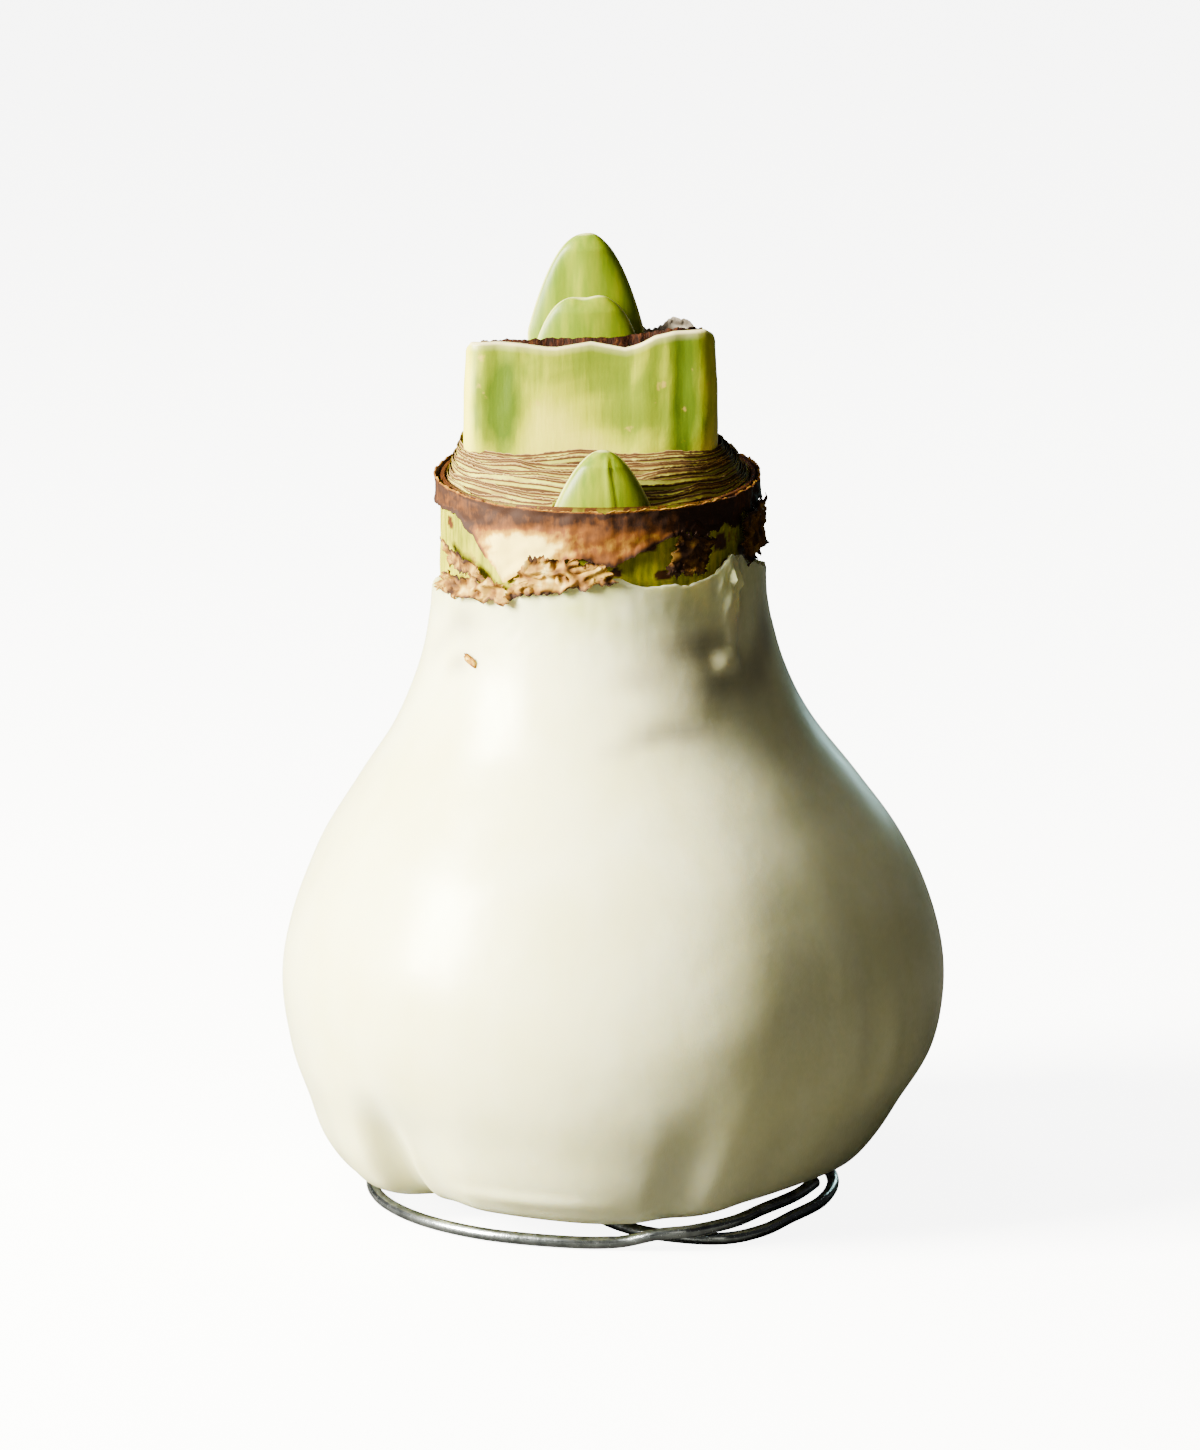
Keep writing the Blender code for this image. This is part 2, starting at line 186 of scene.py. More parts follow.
# %% [markdown]
# ### Modelling helpers
#
# Most pieces start as a grid. Rolled up, it is a wall of rows round the bulb; left open,
# it is a scrap of skin. A rule then moves each point to its place. A wall whose last row
# is bridged to its first is a closed ring with an inside and an outside.

# %% Modelling helpers
def only(obj):
    bpy.ops.object.select_all(action="DESELECT")
    obj.select_set(True)
    bpy.context.view_layer.objects.active = obj


def new_grid(name, columns, rows):
    bpy.ops.object.select_all(action="DESELECT")
    bpy.ops.mesh.primitive_grid_add(x_subdivisions=columns, y_subdivisions=rows, size=1)
    made = bpy.context.object
    made.name = name
    return made


def tube(name, segments, rows, place, marks=None):
    """A grid rolled into a wall; place(angle, row) gives each point in millimetres.

    marks gives one number per row, kept on the points as the attribute "skin"."""
    made = new_grid(name, segments, rows - 1)
    layer = made.data.attributes.new("skin", "FLOAT", "POINT")
    for vert, cell in zip(made.data.vertices, layer.data):
        column = round((vert.co.x + 0.5) * segments) % segments
        row = round((vert.co.y + 0.5) * (rows - 1))
        vert.co = Vector(place(math.tau * column / segments - math.pi, row)) * MM
        cell.value = marks[row] if marks else 0.0
    face_out(made)
    return made


def close_loop(obj):
    """Joins the tube's first and last rows, so that its wall is a closed ring."""
    only(obj)
    bpy.ops.object.mode_set(mode="EDIT")
    bpy.ops.mesh.select_all(action="SELECT")
    bpy.ops.mesh.region_to_loop()
    bpy.ops.mesh.bridge_edge_loops()
    bpy.ops.object.mode_set(mode="OBJECT")
    face_out(obj)


def face_out(obj):
    only(obj)
    bpy.ops.object.mode_set(mode="EDIT")
    bpy.ops.mesh.select_all(action="SELECT")
    bpy.ops.mesh.remove_doubles(threshold=1e-6)
    bpy.ops.mesh.normals_make_consistent(inside=False)
    bpy.ops.object.mode_set(mode="OBJECT")


def finish_piece(obj, material, nodes, sharp=60):
    """Smooth shading, the finish, and what the piece stands for in the frame."""
    only(obj)
    bpy.ops.object.shade_smooth_by_angle(angle=math.radians(sharp))
    obj.data.materials.clear()
    obj.data.materials.append(material)
    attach(obj, "root")
    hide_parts(*nodes)
    print(obj.name, len(obj.data.polygons), "faces")


def paint(obj, name, rule):
    """Writes a number per point, which the material reads as an attribute."""
    layer = obj.data.attributes.new(name, "FLOAT", "POINT")
    for vert, cell in zip(obj.data.vertices, layer.data):
        p = vert.co / MM
        cell.value = rule(p.x, p.y, p.z)


def apply_modifier(obj, kind, **settings):
    modifier = obj.modifiers.new(kind.lower(), kind)
    for name, value in settings.items():
        setattr(modifier, name, value)
    only(obj)
    bpy.ops.object.modifier_apply(modifier=modifier.name)

# %% [markdown]
# ## The bulb's form
#
# The wax follows the bulb, so one rule gives both. A profile is turned about the upright
# axis, and then pushed about: the neck leans to one side, the base is gathered in folds
# where the bulb's own ribs come through, and soft ribs run up its right flank.

# %% The form that wax and bulb share
WAX_PROFILE = [
    (1.7, 3.4), (12.0, 3.1), (24.0, 2.5), (31.5, 2.3), (36.6, 3.7), (40.6, 8.2), (43.6, 14.5),
    (47.0, 23.0), (48.3, 32.0), (46.9, 41.0), (42.6, 51.8), (36.6, 61.0), (30.4, 69.7),
    (26.6, 78.0), (24.7, 86.0), (24.2, 93.0),
]
NECK_Z = 93.0
NECK_SHIFT = -1.9
BASE_SHIFT = -1.6
NECK_CENTRE = Vector((-2.1, 0.0, 0.0))
# Folds gathered at the base: direction and half turn in degrees, millimetres outwards,
# and the heights between which the fold dies away.
BASE_FOLDS = [
    (-139, 7, -3.6, 8, 23), (-131, 14, -2.0, 4, 30), (-150, 12, 1.0, 4, 30), (-75, 8, -0.9, 6, 27),
    (-64.5, 10, 0.75, 14, 30), (38, 16, -1.6, 4, 30), (118, 18, -1.8, 4, 30), (96, 10, 1.0, 4, 30),
]
# Ribs up the right flank: direction, half turn, millimetres outwards, middle and half height.
FLANK_RIBS = [
    (-52, 8, -0.4, 14, 12), (-54, 12, -0.3, 42, 22), (-45, 5, 0.25, 32, 16), (-39, 5, -0.3, 31, 16),
    (-33, 5, 0.3, 28, 16),
]
# Where the base is drawn up from the ring: direction, half turn, rise and fading heights.
BASE_RISES = [(-36, 62, 2.7, 8, 24), (-128, 66, 1.6, 8, 26)]


def lean(z):
    return NECK_SHIFT * ramp(z, 42.0, NECK_Z) + BASE_SHIFT * (1 - ramp(z, 4.0, 26.0))


def bulb_form(radius, angle, z, folds=1.0):
    """Where a point of the turned profile lies on the lopsided bulb."""
    side = ramp(radius, 14.0, 26.0)
    swell = 0.4 * math.sin(3 * angle + 0.6) * bell(z, 46, 30)
    for degrees, half_turn, out, full, gone in BASE_FOLDS:
        swell += out * round_bell(angle, degrees, half_turn) * (1 - ramp(z, full, gone))
    for degrees, half_turn, out, middle, half_height in FLANK_RIBS:
        swell += out * round_bell(angle, degrees, half_turn) * bell(z, middle, half_height)
    rise = 0.0
    for degrees, half_turn, up, full, gone in BASE_RISES:
        rise += up * round_bell(angle, degrees, half_turn) * side * (1 - ramp(z, full, gone))
    reach = radius + folds * swell * side
    deep = 0.975 + 0.025 * ramp(z, 60.0, NECK_Z)
    shift = lean(z) * ramp(radius, 3.0, 20.0)
    return Vector((shift + reach * math.cos(angle), deep * reach * math.sin(angle), z + rise))

# %% [markdown]
# ## Wax coat
#
# The bulb is dipped in warm wax up to its neck, so the coat is one skin with an uneven
# top edge, thin there and thicker below. It could be an offset of the bulb. A wall of
# its own, thickened inwards, gives the rim a real edge and the base real folds.

# %% Wax shapes
WAX_SEGMENTS = 320
WAX_ROWS_PER_SPAN = 9
WAX_RIM = [
    (-180, 89.6), (-163, 90.2), (-156, 90.6), (-147, 89.8), (-138, 91.6), (-132, 90.9), (-124, 91.6),
    (-112, 93.0), (-102, 94.5), (-92, 95.1), (-82, 94.6), (-75, 93.4), (-66, 93.5), (-57, 93.4),
    (-50, 93.8), (-47, 94.4), (-44, 96.3), (-40.5, 96.9), (-37, 95.9), (-33.5, 96.5),
    (-29, 95.0), (-22, 94.6), (-7, 92.6), (20, 92.0),
    (60, 90.5), (100, 89.9), (140, 90.6), (180, 89.6),
]
LUMP = -41.0
WAX_WALL = 1.5
RIM_SHARE = 0.45


def wax_relief(angle, z):
    """Runs, lumps and the slight unevenness of poured wax, in millimetres outwards."""
    top = ramp(z, 80.0, 88.0)
    crystal = abs(ring_grain(angle, z, 1.8, 2))
    lump = (0.8 + 1.8 * crystal) * round_bell(angle, LUMP, 8.5) * bell(z, 91.0, 8.0)
    run = 0.45 * round_bell(angle, LUMP - 1, 4) * bell(z, 84.5, 6.0)
    blob = 0.95 * round_bell(angle, -46, 7.5) * bell(z, 82.0, 2.6)
    step = 0.35 * round_bell(angle, -58, 34) * ramp(z, 74.0, 77.5) * (1 - ramp(z, 79.0, 84.0))
    soft = 0.16 * ring_grain(angle, z, 15.0, 2, 30.0) - 0.08
    fine = 0.06 * top * ring_grain(angle, z, 2.2, 3, 70.0)
    ledge = 0.5 * round_bell(angle, -106, 24) * bell(z, 6.6, 1.8)
    return lump + run + blob + step + soft + fine + ledge


wax_line = smooth_line([(r, 0, z) for r, z in WAX_PROFILE], WAX_ROWS_PER_SPAN)


def wax_point(angle, row):
    radius = wax_line[row].x
    z = wax_line[row].z
    out = wax_relief(angle, z) * ramp(radius, 14.0, 23.0)
    point = bulb_form(radius + out, angle, z)
    edge = along(WAX_RIM, turn_between(angle, 0)) + 0.3 * ring_grain(angle, 0, 1.5, 3, 10.0) - NECK_Z
    point.z += edge * ramp(z, 84.0, NECK_Z)
    return point


wax = tube("wax_skin", WAX_SEGMENTS, len(wax_line), wax_point)
thick = wax.vertex_groups.new(name="thick")
for vert in wax.data.vertices:
    share = 1 - (1 - RIM_SHARE) * ramp(vert.co.z / MM, 78.0, 92.0)
    thick.add([vert.index], share, "REPLACE")
apply_modifier(wax, "SOLIDIFY", thickness=WAX_WALL * MM, offset=-1.0, vertex_group="thick",
               use_even_offset=False)
print("wax wall", WAX_WALL, "mm below and", round(WAX_WALL * RIM_SHARE, 2), "mm at the rim")

# %% [markdown]
# ### How the wax is coloured
#
# Candle wax is a translucent solid: light goes in, scatters and comes out warmer, which
# subsurface scattering gives. Where the coat is thin the bulb's skin shows through as
# violet-grey clouds. Those are painted as numbers on the points and broken up by noise.

# %% Wax finish
BRUISES = [
    (-61, 84.2, 25, 3.8, 0.58), (-76, 80.8, 16, 3.0, 0.34), (-50, 79.4, 25, 5.4, 0.6),
    (-31, 79.5, 17, 8.0, 0.5), (-62, 73.6, 24, 3.2, 0.52), (-78, 71.6, 12, 3.0, 0.16),
    (-47, 88.0, 10, 4.0, 0.3), (-22, 85.0, 16, 8.0, 0.5), (-148, 87.0, 15, 4.8, 0.45),
    (-142, 81.0, 9, 3.0, 0.4), (-158, 84.0, 12, 6.0, 0.2), (88, 84.0, 40, 8.0, 0.4),
    (140, 80.0, 20, 5.0, 0.3), (20, 80.0, 25, 7.0, 0.35),
]


def thin_wax(x, y, z):
    """Where the coat is so thin that the green of the neck tints it, 0 to 1."""
    angle = math.atan2(y, x - NECK_CENTRE.x)
    front = 0.75 * round_bell(angle, -91, 30) * bell(z, 91.0, 8.0)
    around = 0.35 * ramp(z, 86.0, 93.0)
    return max(front, around) * (0.8 + 0.6 * grain(x, y, z, 4.0, 2))


def film(x, y, z):
    """Where the thin wax lets the skin show, 0 to 1."""
    angle = math.atan2(y, x - NECK_CENTRE.x)
    drift = 3.0 * grain(x, y, z, 9.0, 2) + 0.8 * (z - 80.0)
    rise = 0.8 * grain(x + 50, y, z, 8.0, 2)
    light = 1.0
    for degrees, height, half_turn, half_height, strength in BRUISES:
        spot = round_bell(angle, degrees + drift, half_turn) * bell(z, height + rise, half_height)
        light *= 1.0 - strength * spot
    shade = 1.0 - light
    clear = 1.0 - 0.8 * round_bell(angle, LUMP, 6) * bell(z, 90.5, 7.0)
    clear *= 1.0 - 0.6 * round_bell(angle, -46, 8.5) * bell(z, 82.0, 3.0)
    return max(0.0, min(1.0, shade)) * clear


paint(wax, "film", film)
paint(wax, "thin", thin_wax)
candle_wax, tree, shader, place = new_material("candle_wax")
seen = add_node(tree, "ShaderNodeAttribute", attribute_name="film").outputs["Fac"]
cloud = add_node(tree, "ShaderNodeTexNoise", {"Vector": place, "Scale": per_mm(14), "Detail": 3.0})
body_colour = add_node(tree, "ShaderNodeValToRGB", {"Fac": cloud.outputs["Fac"]},
                       stops=[(0.3, "#E5E0AA"), (0.7, "#EEEABE")])
streak_map = add_node(tree, "ShaderNodeMapping", {"Vector": place, "Scale": (1.0, 1.0, 0.12)})
streaks = add_node(tree, "ShaderNodeTexNoise", {"Vector": streak_map.outputs[0], "Scale": per_mm(5),
                                                "Detail": 2.0})
streak_mix = add_node(tree, "ShaderNodeMapRange", {"Value": streaks.outputs["Fac"], 1: 0.45, 2: 0.8,
                                                   3: 0.0, 4: 0.22})
thin = add_node(tree, "ShaderNodeAttribute", attribute_name="thin").outputs["Fac"]
wax_colour = body_colour.outputs[0]
for mask, tint in ((streak_mix.outputs[0], "#CFD088"), (thin, "#B4BA55"), (seen, "#484044")):
    wax_colour = add_node(tree, "ShaderNodeMix", {0: mask, 6: wax_colour, 7: srgb(tint)},
                          data_type="RGBA").outputs[2]
sweat = add_node(tree, "ShaderNodeTexNoise", {"Vector": place, "Scale": per_mm(1.5), "Detail": 4.0})
rough = add_node(tree, "ShaderNodeMapRange", {"Value": sweat.outputs["Fac"], 3: 0.26, 4: 0.4})
waves = add_node(tree, "ShaderNodeTexNoise", {"Vector": place, "Scale": per_mm(7), "Detail": 3.0})
dents = add_node(tree, "ShaderNodeBump", {"Height": waves.outputs["Fac"], "Strength": 0.25,
                                          "Distance": 0.5 * MM})
set_shader(shader, Base_Color=wax_colour, Roughness=rough.outputs[0], Normal=dents.outputs[0])
set_shader(shader, IOR=1.44, Subsurface_Weight=0.55, Subsurface_Scale=3.0 * MM,
           Subsurface_Radius=(1.0, 0.8, 0.5), Coat_Weight=0.15, Coat_Roughness=0.2)
finish_piece(wax, candle_wax, ["wax_coat"])

# %% [markdown]
# ## Fleshy bulb
#
# Only the neck shows, between the wax and the rim, but the bulb is made whole: a closed
# body with the bore for the wire's spike below and the cut neck above. Its wall runs up
# the outside, over the rim and down into the neck, in one line of rows.

# %% Bulb body
FLESH_RADIUS = 22.7
RIM_HEIGHT = 106.1
RIM_SLOPE = 0.085
RECESS_RADIUS = 22.0
RECESS_FLOOR = 96.0
BORE_RADIUS = 1.2
BORE_TOP = 24.3
BULB_INSET = 2.9
BULB_SEGMENTS = 360


def rim_z(y):
    return RIM_HEIGHT + RIM_SLOPE * y


body_line = [(0.0, BORE_TOP), (BORE_RADIUS, BORE_TOP), (BORE_RADIUS, 6.4), (4.0, 6.3)]
for i in range(3 * WAX_ROWS_PER_SPAN, len(wax_line) - 9, 4):
    step = (wax_line[i + 1] - wax_line[i - 1]).normalized()
    near_neck = ramp(wax_line[i].z, 58.0, 84.0)
    if wax_line[i].z < 78.0:
        body_line.append((wax_line[i].x - step.z * BULB_INSET * (1 - 0.25 * near_neck),
                          wax_line[i].z + step.x * BULB_INSET * (1 - near_neck)))
neck_rows = [88.0, 90.0] + [91.5 + 0.35 * k for k in range(41)]
body_line += [(FLESH_RADIUS, z) for z in neck_rows]
body_line += [(FLESH_RADIUS, RIM_HEIGHT - 0.3), (FLESH_RADIUS - 0.1, RIM_HEIGHT),
              (RECESS_RADIUS + 0.1, RIM_HEIGHT), (RECESS_RADIUS, RIM_HEIGHT - 0.4),
              (RECESS_RADIUS, RECESS_FLOOR), (0.0, RECESS_FLOOR)]


def body_point(angle, row):
    radius, z = body_line[row]
    if z <= 87.0 and row < len(body_line) - 6:
        return bulb_form(radius, angle, z, folds=0.9)
    swell = 0.12 * ring_grain(angle, z, 6.0) if radius > RECESS_RADIUS + 0.3 else 0.0
    x = NECK_CENTRE.x + (radius + swell) * math.cos(angle)
    y = NECK_CENTRE.y + (radius + swell) * math.sin(angle)
    cut = rim_z(y) - RIM_HEIGHT if z > RIM_HEIGHT - 1 else 0.0
    return Vector((x, y, z + cut))


bulb = tube("bulb_flesh", BULB_SEGMENTS, len(body_line), body_point)

# %% [markdown]
# ### Green flesh
#
# Living scale tissue is yellow-green, a little glossy, with veins that run up the neck.
# Broad bands and fine veins are two noises, both stretched six times along the height.

# %% Green finishes
def plant_green(name, pale, middle, deep, vein_mm, roughness, bruise=0.0, scatter=1.6):
    """A fleshy green: soft upright bands, fine veins and a waxy bloom."""
    made, tree, shader, place = new_material(name)
    long_map = add_node(tree, "ShaderNodeMapping", {"Vector": place, "Scale": (1.0, 1.0, 0.16)})
    bands = add_node(tree, "ShaderNodeTexNoise", {"Vector": long_map.outputs[0],
                                                  "Scale": per_mm(vein_mm * 8), "Detail": 2.0})
    veins = add_node(tree, "ShaderNodeTexNoise", {"Vector": long_map.outputs[0],
                                                  "Scale": per_mm(vein_mm), "Detail": 3.0})
    mixed = add_node(tree, "ShaderNodeMath", {0: bands.outputs["Fac"], 1: veins.outputs["Fac"]},
                     operation="ADD")
    spread = add_node(tree, "ShaderNodeMath", {0: mixed.outputs[0], 1: 0.5}, operation="MULTIPLY")
    colour = add_node(tree, "ShaderNodeValToRGB", {"Fac": spread.outputs[0]},
                      stops=[(0.36, deep), (0.5, middle), (0.64, pale)])
    spots = add_node(tree, "ShaderNodeTexNoise", {"Vector": place, "Scale": per_mm(6), "Detail": 5.0,
                                                  "Roughness": 0.65})
    spot_mask = add_node(tree, "ShaderNodeMapRange", {"Value": spots.outputs["Fac"], 1: 0.62, 2: 0.7,
                                                      3: 0.0, 4: bruise})
    stain = add_node(tree, "ShaderNodeAttribute", attribute_name="stain").outputs["Fac"]
    # The "edge" number lays a pale line on leaf edges and tips: a painted highlight.
    edge = add_node(tree, "ShaderNodeAttribute", attribute_name="edge").outputs["Fac"]
    flesh = colour.outputs[0]
    for mask, tint in ((spot_mask.outputs[0], "#6E4A22"), (stain, "#42230C"), (edge, "#C9C77E")):
        flesh = add_node(tree, "ShaderNodeMix", {0: mask, 6: flesh, 7: srgb(tint)},
                         data_type="RGBA").outputs[2]
    bump = add_node(tree, "ShaderNodeBump", {"Height": veins.outputs["Fac"], "Strength": 0.2,
                                             "Distance": 0.15 * MM})
    set_shader(shader, Base_Color=flesh, Normal=bump.outputs[0])
    set_shader(shader, Roughness=roughness, Specular_IOR_Level=0.2, Subsurface_Weight=0.12,
               Subsurface_Scale=scatter * MM, Subsurface_Radius=(0.6, 1.0, 0.1))
    return made


neck_green = plant_green("neck_flesh", "#C0B21A", "#969400", "#646800", 0.8, 0.42, bruise=0.8)
STAINS = [
    (-57, 97.4, 8, 2.8), (-50, 100.6, 9, 2.2), (-40, 98.6, 6, 2.4), (-30, 101.4, 10, 2.2),
    (-24, 96.4, 7, 2.2), (-72, 98.9, 5, 1.2), (-12, 99.5, 9, 4.0), (-66, 94.8, 7, 1.2),
    (-36, 95.0, 6, 1.6), (-84, 95.4, 4, 1.2), (-158, 100.4, 4, 1.6), (60, 97.0, 14, 3.0),
    (110, 96.0, 10, 2.6), (150, 97.5, 9, 2.4),
]


def neck_stain(x, y, z):
    """Brown blotches where scraps of dead skin still cling, and the dried rim."""
    if z < 92.0:
        return 0.0
    angle = math.atan2(y, x - NECK_CENTRE.x)
    dried_rim = ramp(z, rim_z(y) - 0.9, rim_z(y) - 0.4)
    spread = max(round_bell(angle, a, w) * bell(z, h, t) for a, h, w, t in STAINS)
    return max(dried_rim, ramp(spread + 0.3 * grain(x, y, z, 1.3), 0.3, 0.48))


paint(bulb, "stain", neck_stain)
finish_piece(bulb, neck_green, ["bulb_body"])

# %% [markdown]
# ## Cut scales
#
# A bulb is a stack of leaf bases, one inside the other. Cut across, each shows a pale
# fleshy band between two thin brown skins that dry, curl and fray. One rule shapes every
# ring: its wall comes up outside, rises to a ragged skin, dips over the flesh, rises to
# the inner skin and goes down again. Between the round neck and the flat collar the
# rings change from round to oblong.

# %% Ring outlines
SHEATH_CENTRE = Vector((-3.1, -0.3, 0.0))
SHEATH_HALF_WIDTH = 18.4
SHEATH_HALF_DEPTH = 7.8
SCALE_COUNT = 6
GAP = 0.3
SCALE_GAP = 0.26
SCALE_RISE = 5.2
FLOOR = RECESS_FLOOR + GAP


def oval(half_width, half_depth, angle, squareness=2.7):
    c = math.cos(angle)
    s = math.sin(angle)
    power = 2 / squareness
    return Vector((SHEATH_CENTRE.x + half_width * math.copysign(abs(c) ** power, c),
                   SHEATH_CENTRE.y + half_depth * math.copysign(abs(s) ** power, s), 0))


def scale_outline(share, angle, offset):
    wall = NECK_CENTRE + Vector((math.cos(angle), math.sin(angle), 0)) * (RECESS_RADIUS - GAP / 2)
    flat = oval(SHEATH_HALF_WIDTH + GAP, SHEATH_HALF_DEPTH + GAP, angle)
    point = wall.lerp(flat, share)
    return point + (point - NECK_CENTRE).normalized() * offset

# %% [markdown]
# ### One ring
#
# A ring is eighteen rows: up the outer wall to a ragged skin, over the flesh with one
# small ridge in it, to the frayed inner skin and down inside. Each row has a mark that
# says how far it is brown skin. Two rings keep their ridge green.

# %% Scale rings
RING_SEGMENTS = 420
RING_MARKS = [
    0.9, 0.9, 0.85, 0.12, 0.05, 0.8, 1.0, 0.7, 0.0,
    0.0, 0.95, 0.6, 0.0, 0.1, 0.7, 1.0, 0.7, 0.5,
]
RIDGE_ROWS = slice(10, 12)
GREEN_RIDGES = (0, 2)


def scale_ring(index):
    outer_share = index / SCALE_COUNT
    inner_share = (index + 1) / SCALE_COUNT
    seed = 11.0 * index

    def point(angle, row):
        outer = scale_outline(outer_share, angle, -SCALE_GAP / 2)
        inner = scale_outline(inner_share, angle, SCALE_GAP / 2)
        width = (inner - outer).length
        skin = min(0.14, 0.3 * width) / width
        spot = Vector((outer.x, outer.y, seed))
        middle = 0.5 + 0.2 * ripple(spot, 9)
        across = [
            0.0, 0.0, 0.0, 0.0, 0.0, 0.0, 0.015, skin, 0.4 * middle, 0.8 * middle, middle,
            middle + 0.06, middle + 0.16, 0.85, 1 - skin, 0.985, 1.0, 1.0,
        ][row]
        wave = 0.75 * ripple(spot, 9) + 0.2 * ripple(spot, 3.5)
        ragged = max(0.0, 0.16 + 0.22 * ripple(spot, 2.4) + 0.2 * ripple(spot, 0.35))
        ridge = max(-0.2, 0.1 + 0.3 * ripple(spot, 5, (4, 0, 0)) + 0.14 * ripple(spot, 0.4))
        frayed = max(0.0, 0.12 + 0.15 * ripple(spot, 1.4, (9, 0, 0)) + 0.14 * ripple(spot, 0.4))
        lift = [
            0, -3.0, -0.82, -0.62, -0.3, -0.1, ragged, -0.06, -0.3,
            -0.28, ridge, -0.25, -0.32, -0.28, -0.06, frayed, -0.5, 0,
        ][row]
        here = outer.lerp(inner, across)
        top = rim_z(here.y) + SCALE_RISE * (outer_share + 0.5 * across / SCALE_COUNT) + wave
        sway = 0.07 * ripple(spot, 1.8, (0, 5, 0)) if 2 <= row <= 15 else 0.0
        here = here + (here - NECK_CENTRE).normalized() * sway * min(width, 1.0)
        return Vector((here.x, here.y, FLOOR if row in (0, 17) else top + lift))

    marks = list(RING_MARKS)
    if index in GREEN_RIDGES:
        marks[RIDGE_ROWS] = [0.15, 0.0]
    ring = tube(f"cut_scale_{index + 1}", RING_SEGMENTS, len(marks), point, marks)
    close_loop(ring)
    return ring


scale_rings = [scale_ring(index) for index in range(SCALE_COUNT)]
print(len(scale_rings), "scale rings")

# %% [markdown]
# ### Cut scale finish
#
# Dried cut tissue: the flesh stays pale green and tan, and the skins are brown with a
# light frayed lip. A fine noise stands for the fibres, and a second, coarser one browns
# the flesh in places.

# %% Scale finish
cut_scale, tree, shader, place = new_material("dried_cut_scale")
skin = add_node(tree, "ShaderNodeAttribute", attribute_name="skin").outputs["Fac"]
fibres = add_node(tree, "ShaderNodeTexNoise", {"Vector": place, "Scale": per_mm(0.7), "Detail": 4.0,
                                               "Roughness": 0.7})
blotch = add_node(tree, "ShaderNodeTexNoise", {"Vector": place, "Scale": per_mm(4.5), "Detail": 3.0})
flesh_colour = add_node(tree, "ShaderNodeValToRGB", {"Fac": blotch.outputs["Fac"]},
                        stops=[(0.34, "#80702A"), (0.46, "#9A9430"), (0.62, "#AAAA3C")])
skin_colour = add_node(tree, "ShaderNodeValToRGB", {"Fac": skin},
                       stops=[(0.5, "#4A2C0C"), (0.85, "#3E240A"), (1.0, "#AC9250")])
skin_mask = add_node(tree, "ShaderNodeMapRange", {"Value": skin, 1: 0.12, 2: 0.5})
dried = add_node(tree, "ShaderNodeMix", {0: skin_mask.outputs[0], 6: flesh_colour.outputs[0],
                                         7: skin_colour.outputs[0]}, data_type="RGBA")
speck = add_node(tree, "ShaderNodeMapRange", {"Value": fibres.outputs["Fac"], 1: 0.58, 2: 0.72,
                                              3: 0.0, 4: 0.35})
flecked = add_node(tree, "ShaderNodeMix", {0: speck.outputs[0], 6: dried.outputs[2],
                                           7: srgb("#5A3814")}, data_type="RGBA")
fuzz = add_node(tree, "ShaderNodeBump", {"Height": fibres.outputs["Fac"], "Strength": 0.35,
                                         "Distance": 0.2 * MM})
set_shader(shader, Base_Color=flecked.outputs[2], Normal=fuzz.outputs[0], Roughness=0.85,
           Specular_IOR_Level=0.2)

# %% [markdown]
# ## Side shoot
#
# A young shoot has pushed up between the two outer scales: a blunt, flat cone with a keel
# line where its leaves meet. A sphere is a good start, since it is closed and its rows
# already gather at a tip. Each row is widened by the outline's rule, and the keel is a
# narrow crease down the front.

# %% Leaf tips from spheres
def leaf(name, centre, low, tip, width_rule, thick, detail, segments=72, rows=64):
    """A flat blunt leaf: width_rule(depth below the tip) gives its half width."""
    bpy.ops.object.select_all(action="DESELECT")
    bpy.ops.mesh.primitive_uv_sphere_add(segments=segments, ring_count=rows, radius=1)
    made = bpy.context.object
    made.name = name
    # The "edge" number marks the leaf's edges and tip, where a pale painted highlight goes.
    layer = made.data.attributes.new("edge", "FLOAT", "POINT")
    for vert, cell in zip(made.data.vertices, layer.data):
        up = math.asin(max(-1.0, min(1.0, vert.co.z))) / math.pi + 0.5
        depth = (tip - low) * (1 - up) ** 1.6
        half = width_rule(depth)
        closing = ramp(up, 0.0, 0.03)
        around = math.atan2(vert.co.y, vert.co.x)
        flat = abs(vert.co.x) + abs(vert.co.y) > 1e-5
        c = math.cos(around) if flat else 0.0
        s = math.sin(around) if flat else 0.0
        x = half * closing * c
        y = thick * min(1.0, (depth / 2.2) ** 0.5) * closing * math.copysign(abs(s) ** 0.8, s)
        dx, dy, dz = detail(x, y, depth, s)
        cell.value = 0.7 * max(ramp(abs(c), 0.95, 1.0), 1 - ramp(depth, 0.05, 0.35))
        vert.co = Vector((centre[0] + x + dx, centre[1] + y + dy, tip - depth + dz)) * MM
    face_out(made)
    return made


SHOOT_PLACE = (-1.4, -19.6)


def shoot_width(depth):
    return min(2.3 * depth ** 0.52, 6.9)


def shoot_detail(x, y, depth, side):
    front = 1.0 if side < 0 else 0.0
    keel = 0.45 + 0.06 * depth + 0.005 * depth * depth
    ridge = bell(x, keel, 0.6) - 0.4 * bell(x, keel + 0.6, 0.35)
    shoulder = 0.8 * (1 - (x / 7.0) ** 2) * ramp(depth, 0.5, 7.0)
    crease = 0.22 * ridge * ramp(depth, 0.3, 2.0)
    return 0.0, front * (0.018 * depth - crease - shoulder), 0.0


shoot = leaf("young_shoot", SHOOT_PLACE, FLOOR, 112.5, shoot_width, 1.9, shoot_detail)
shoot_green = plant_green("shoot_green", "#7E8800", "#707E00", "#566C00", 0.9, 0.36, scatter=1.4)
finish_piece(shoot, shoot_green, ["side_shoot"])

# %% [markdown]
# ### Room for the shoot
#
# The shoot has pushed the two outer scales apart. A plain leaf form, a little larger than
# the shoot, is cut out of both rings before they get their finish.

# %% The two outer scales make room for the shoot
def slot_width(depth):
    return 7.3


def slot_detail(x, y, depth, side):
    return 0.0, -0.4, 0.0


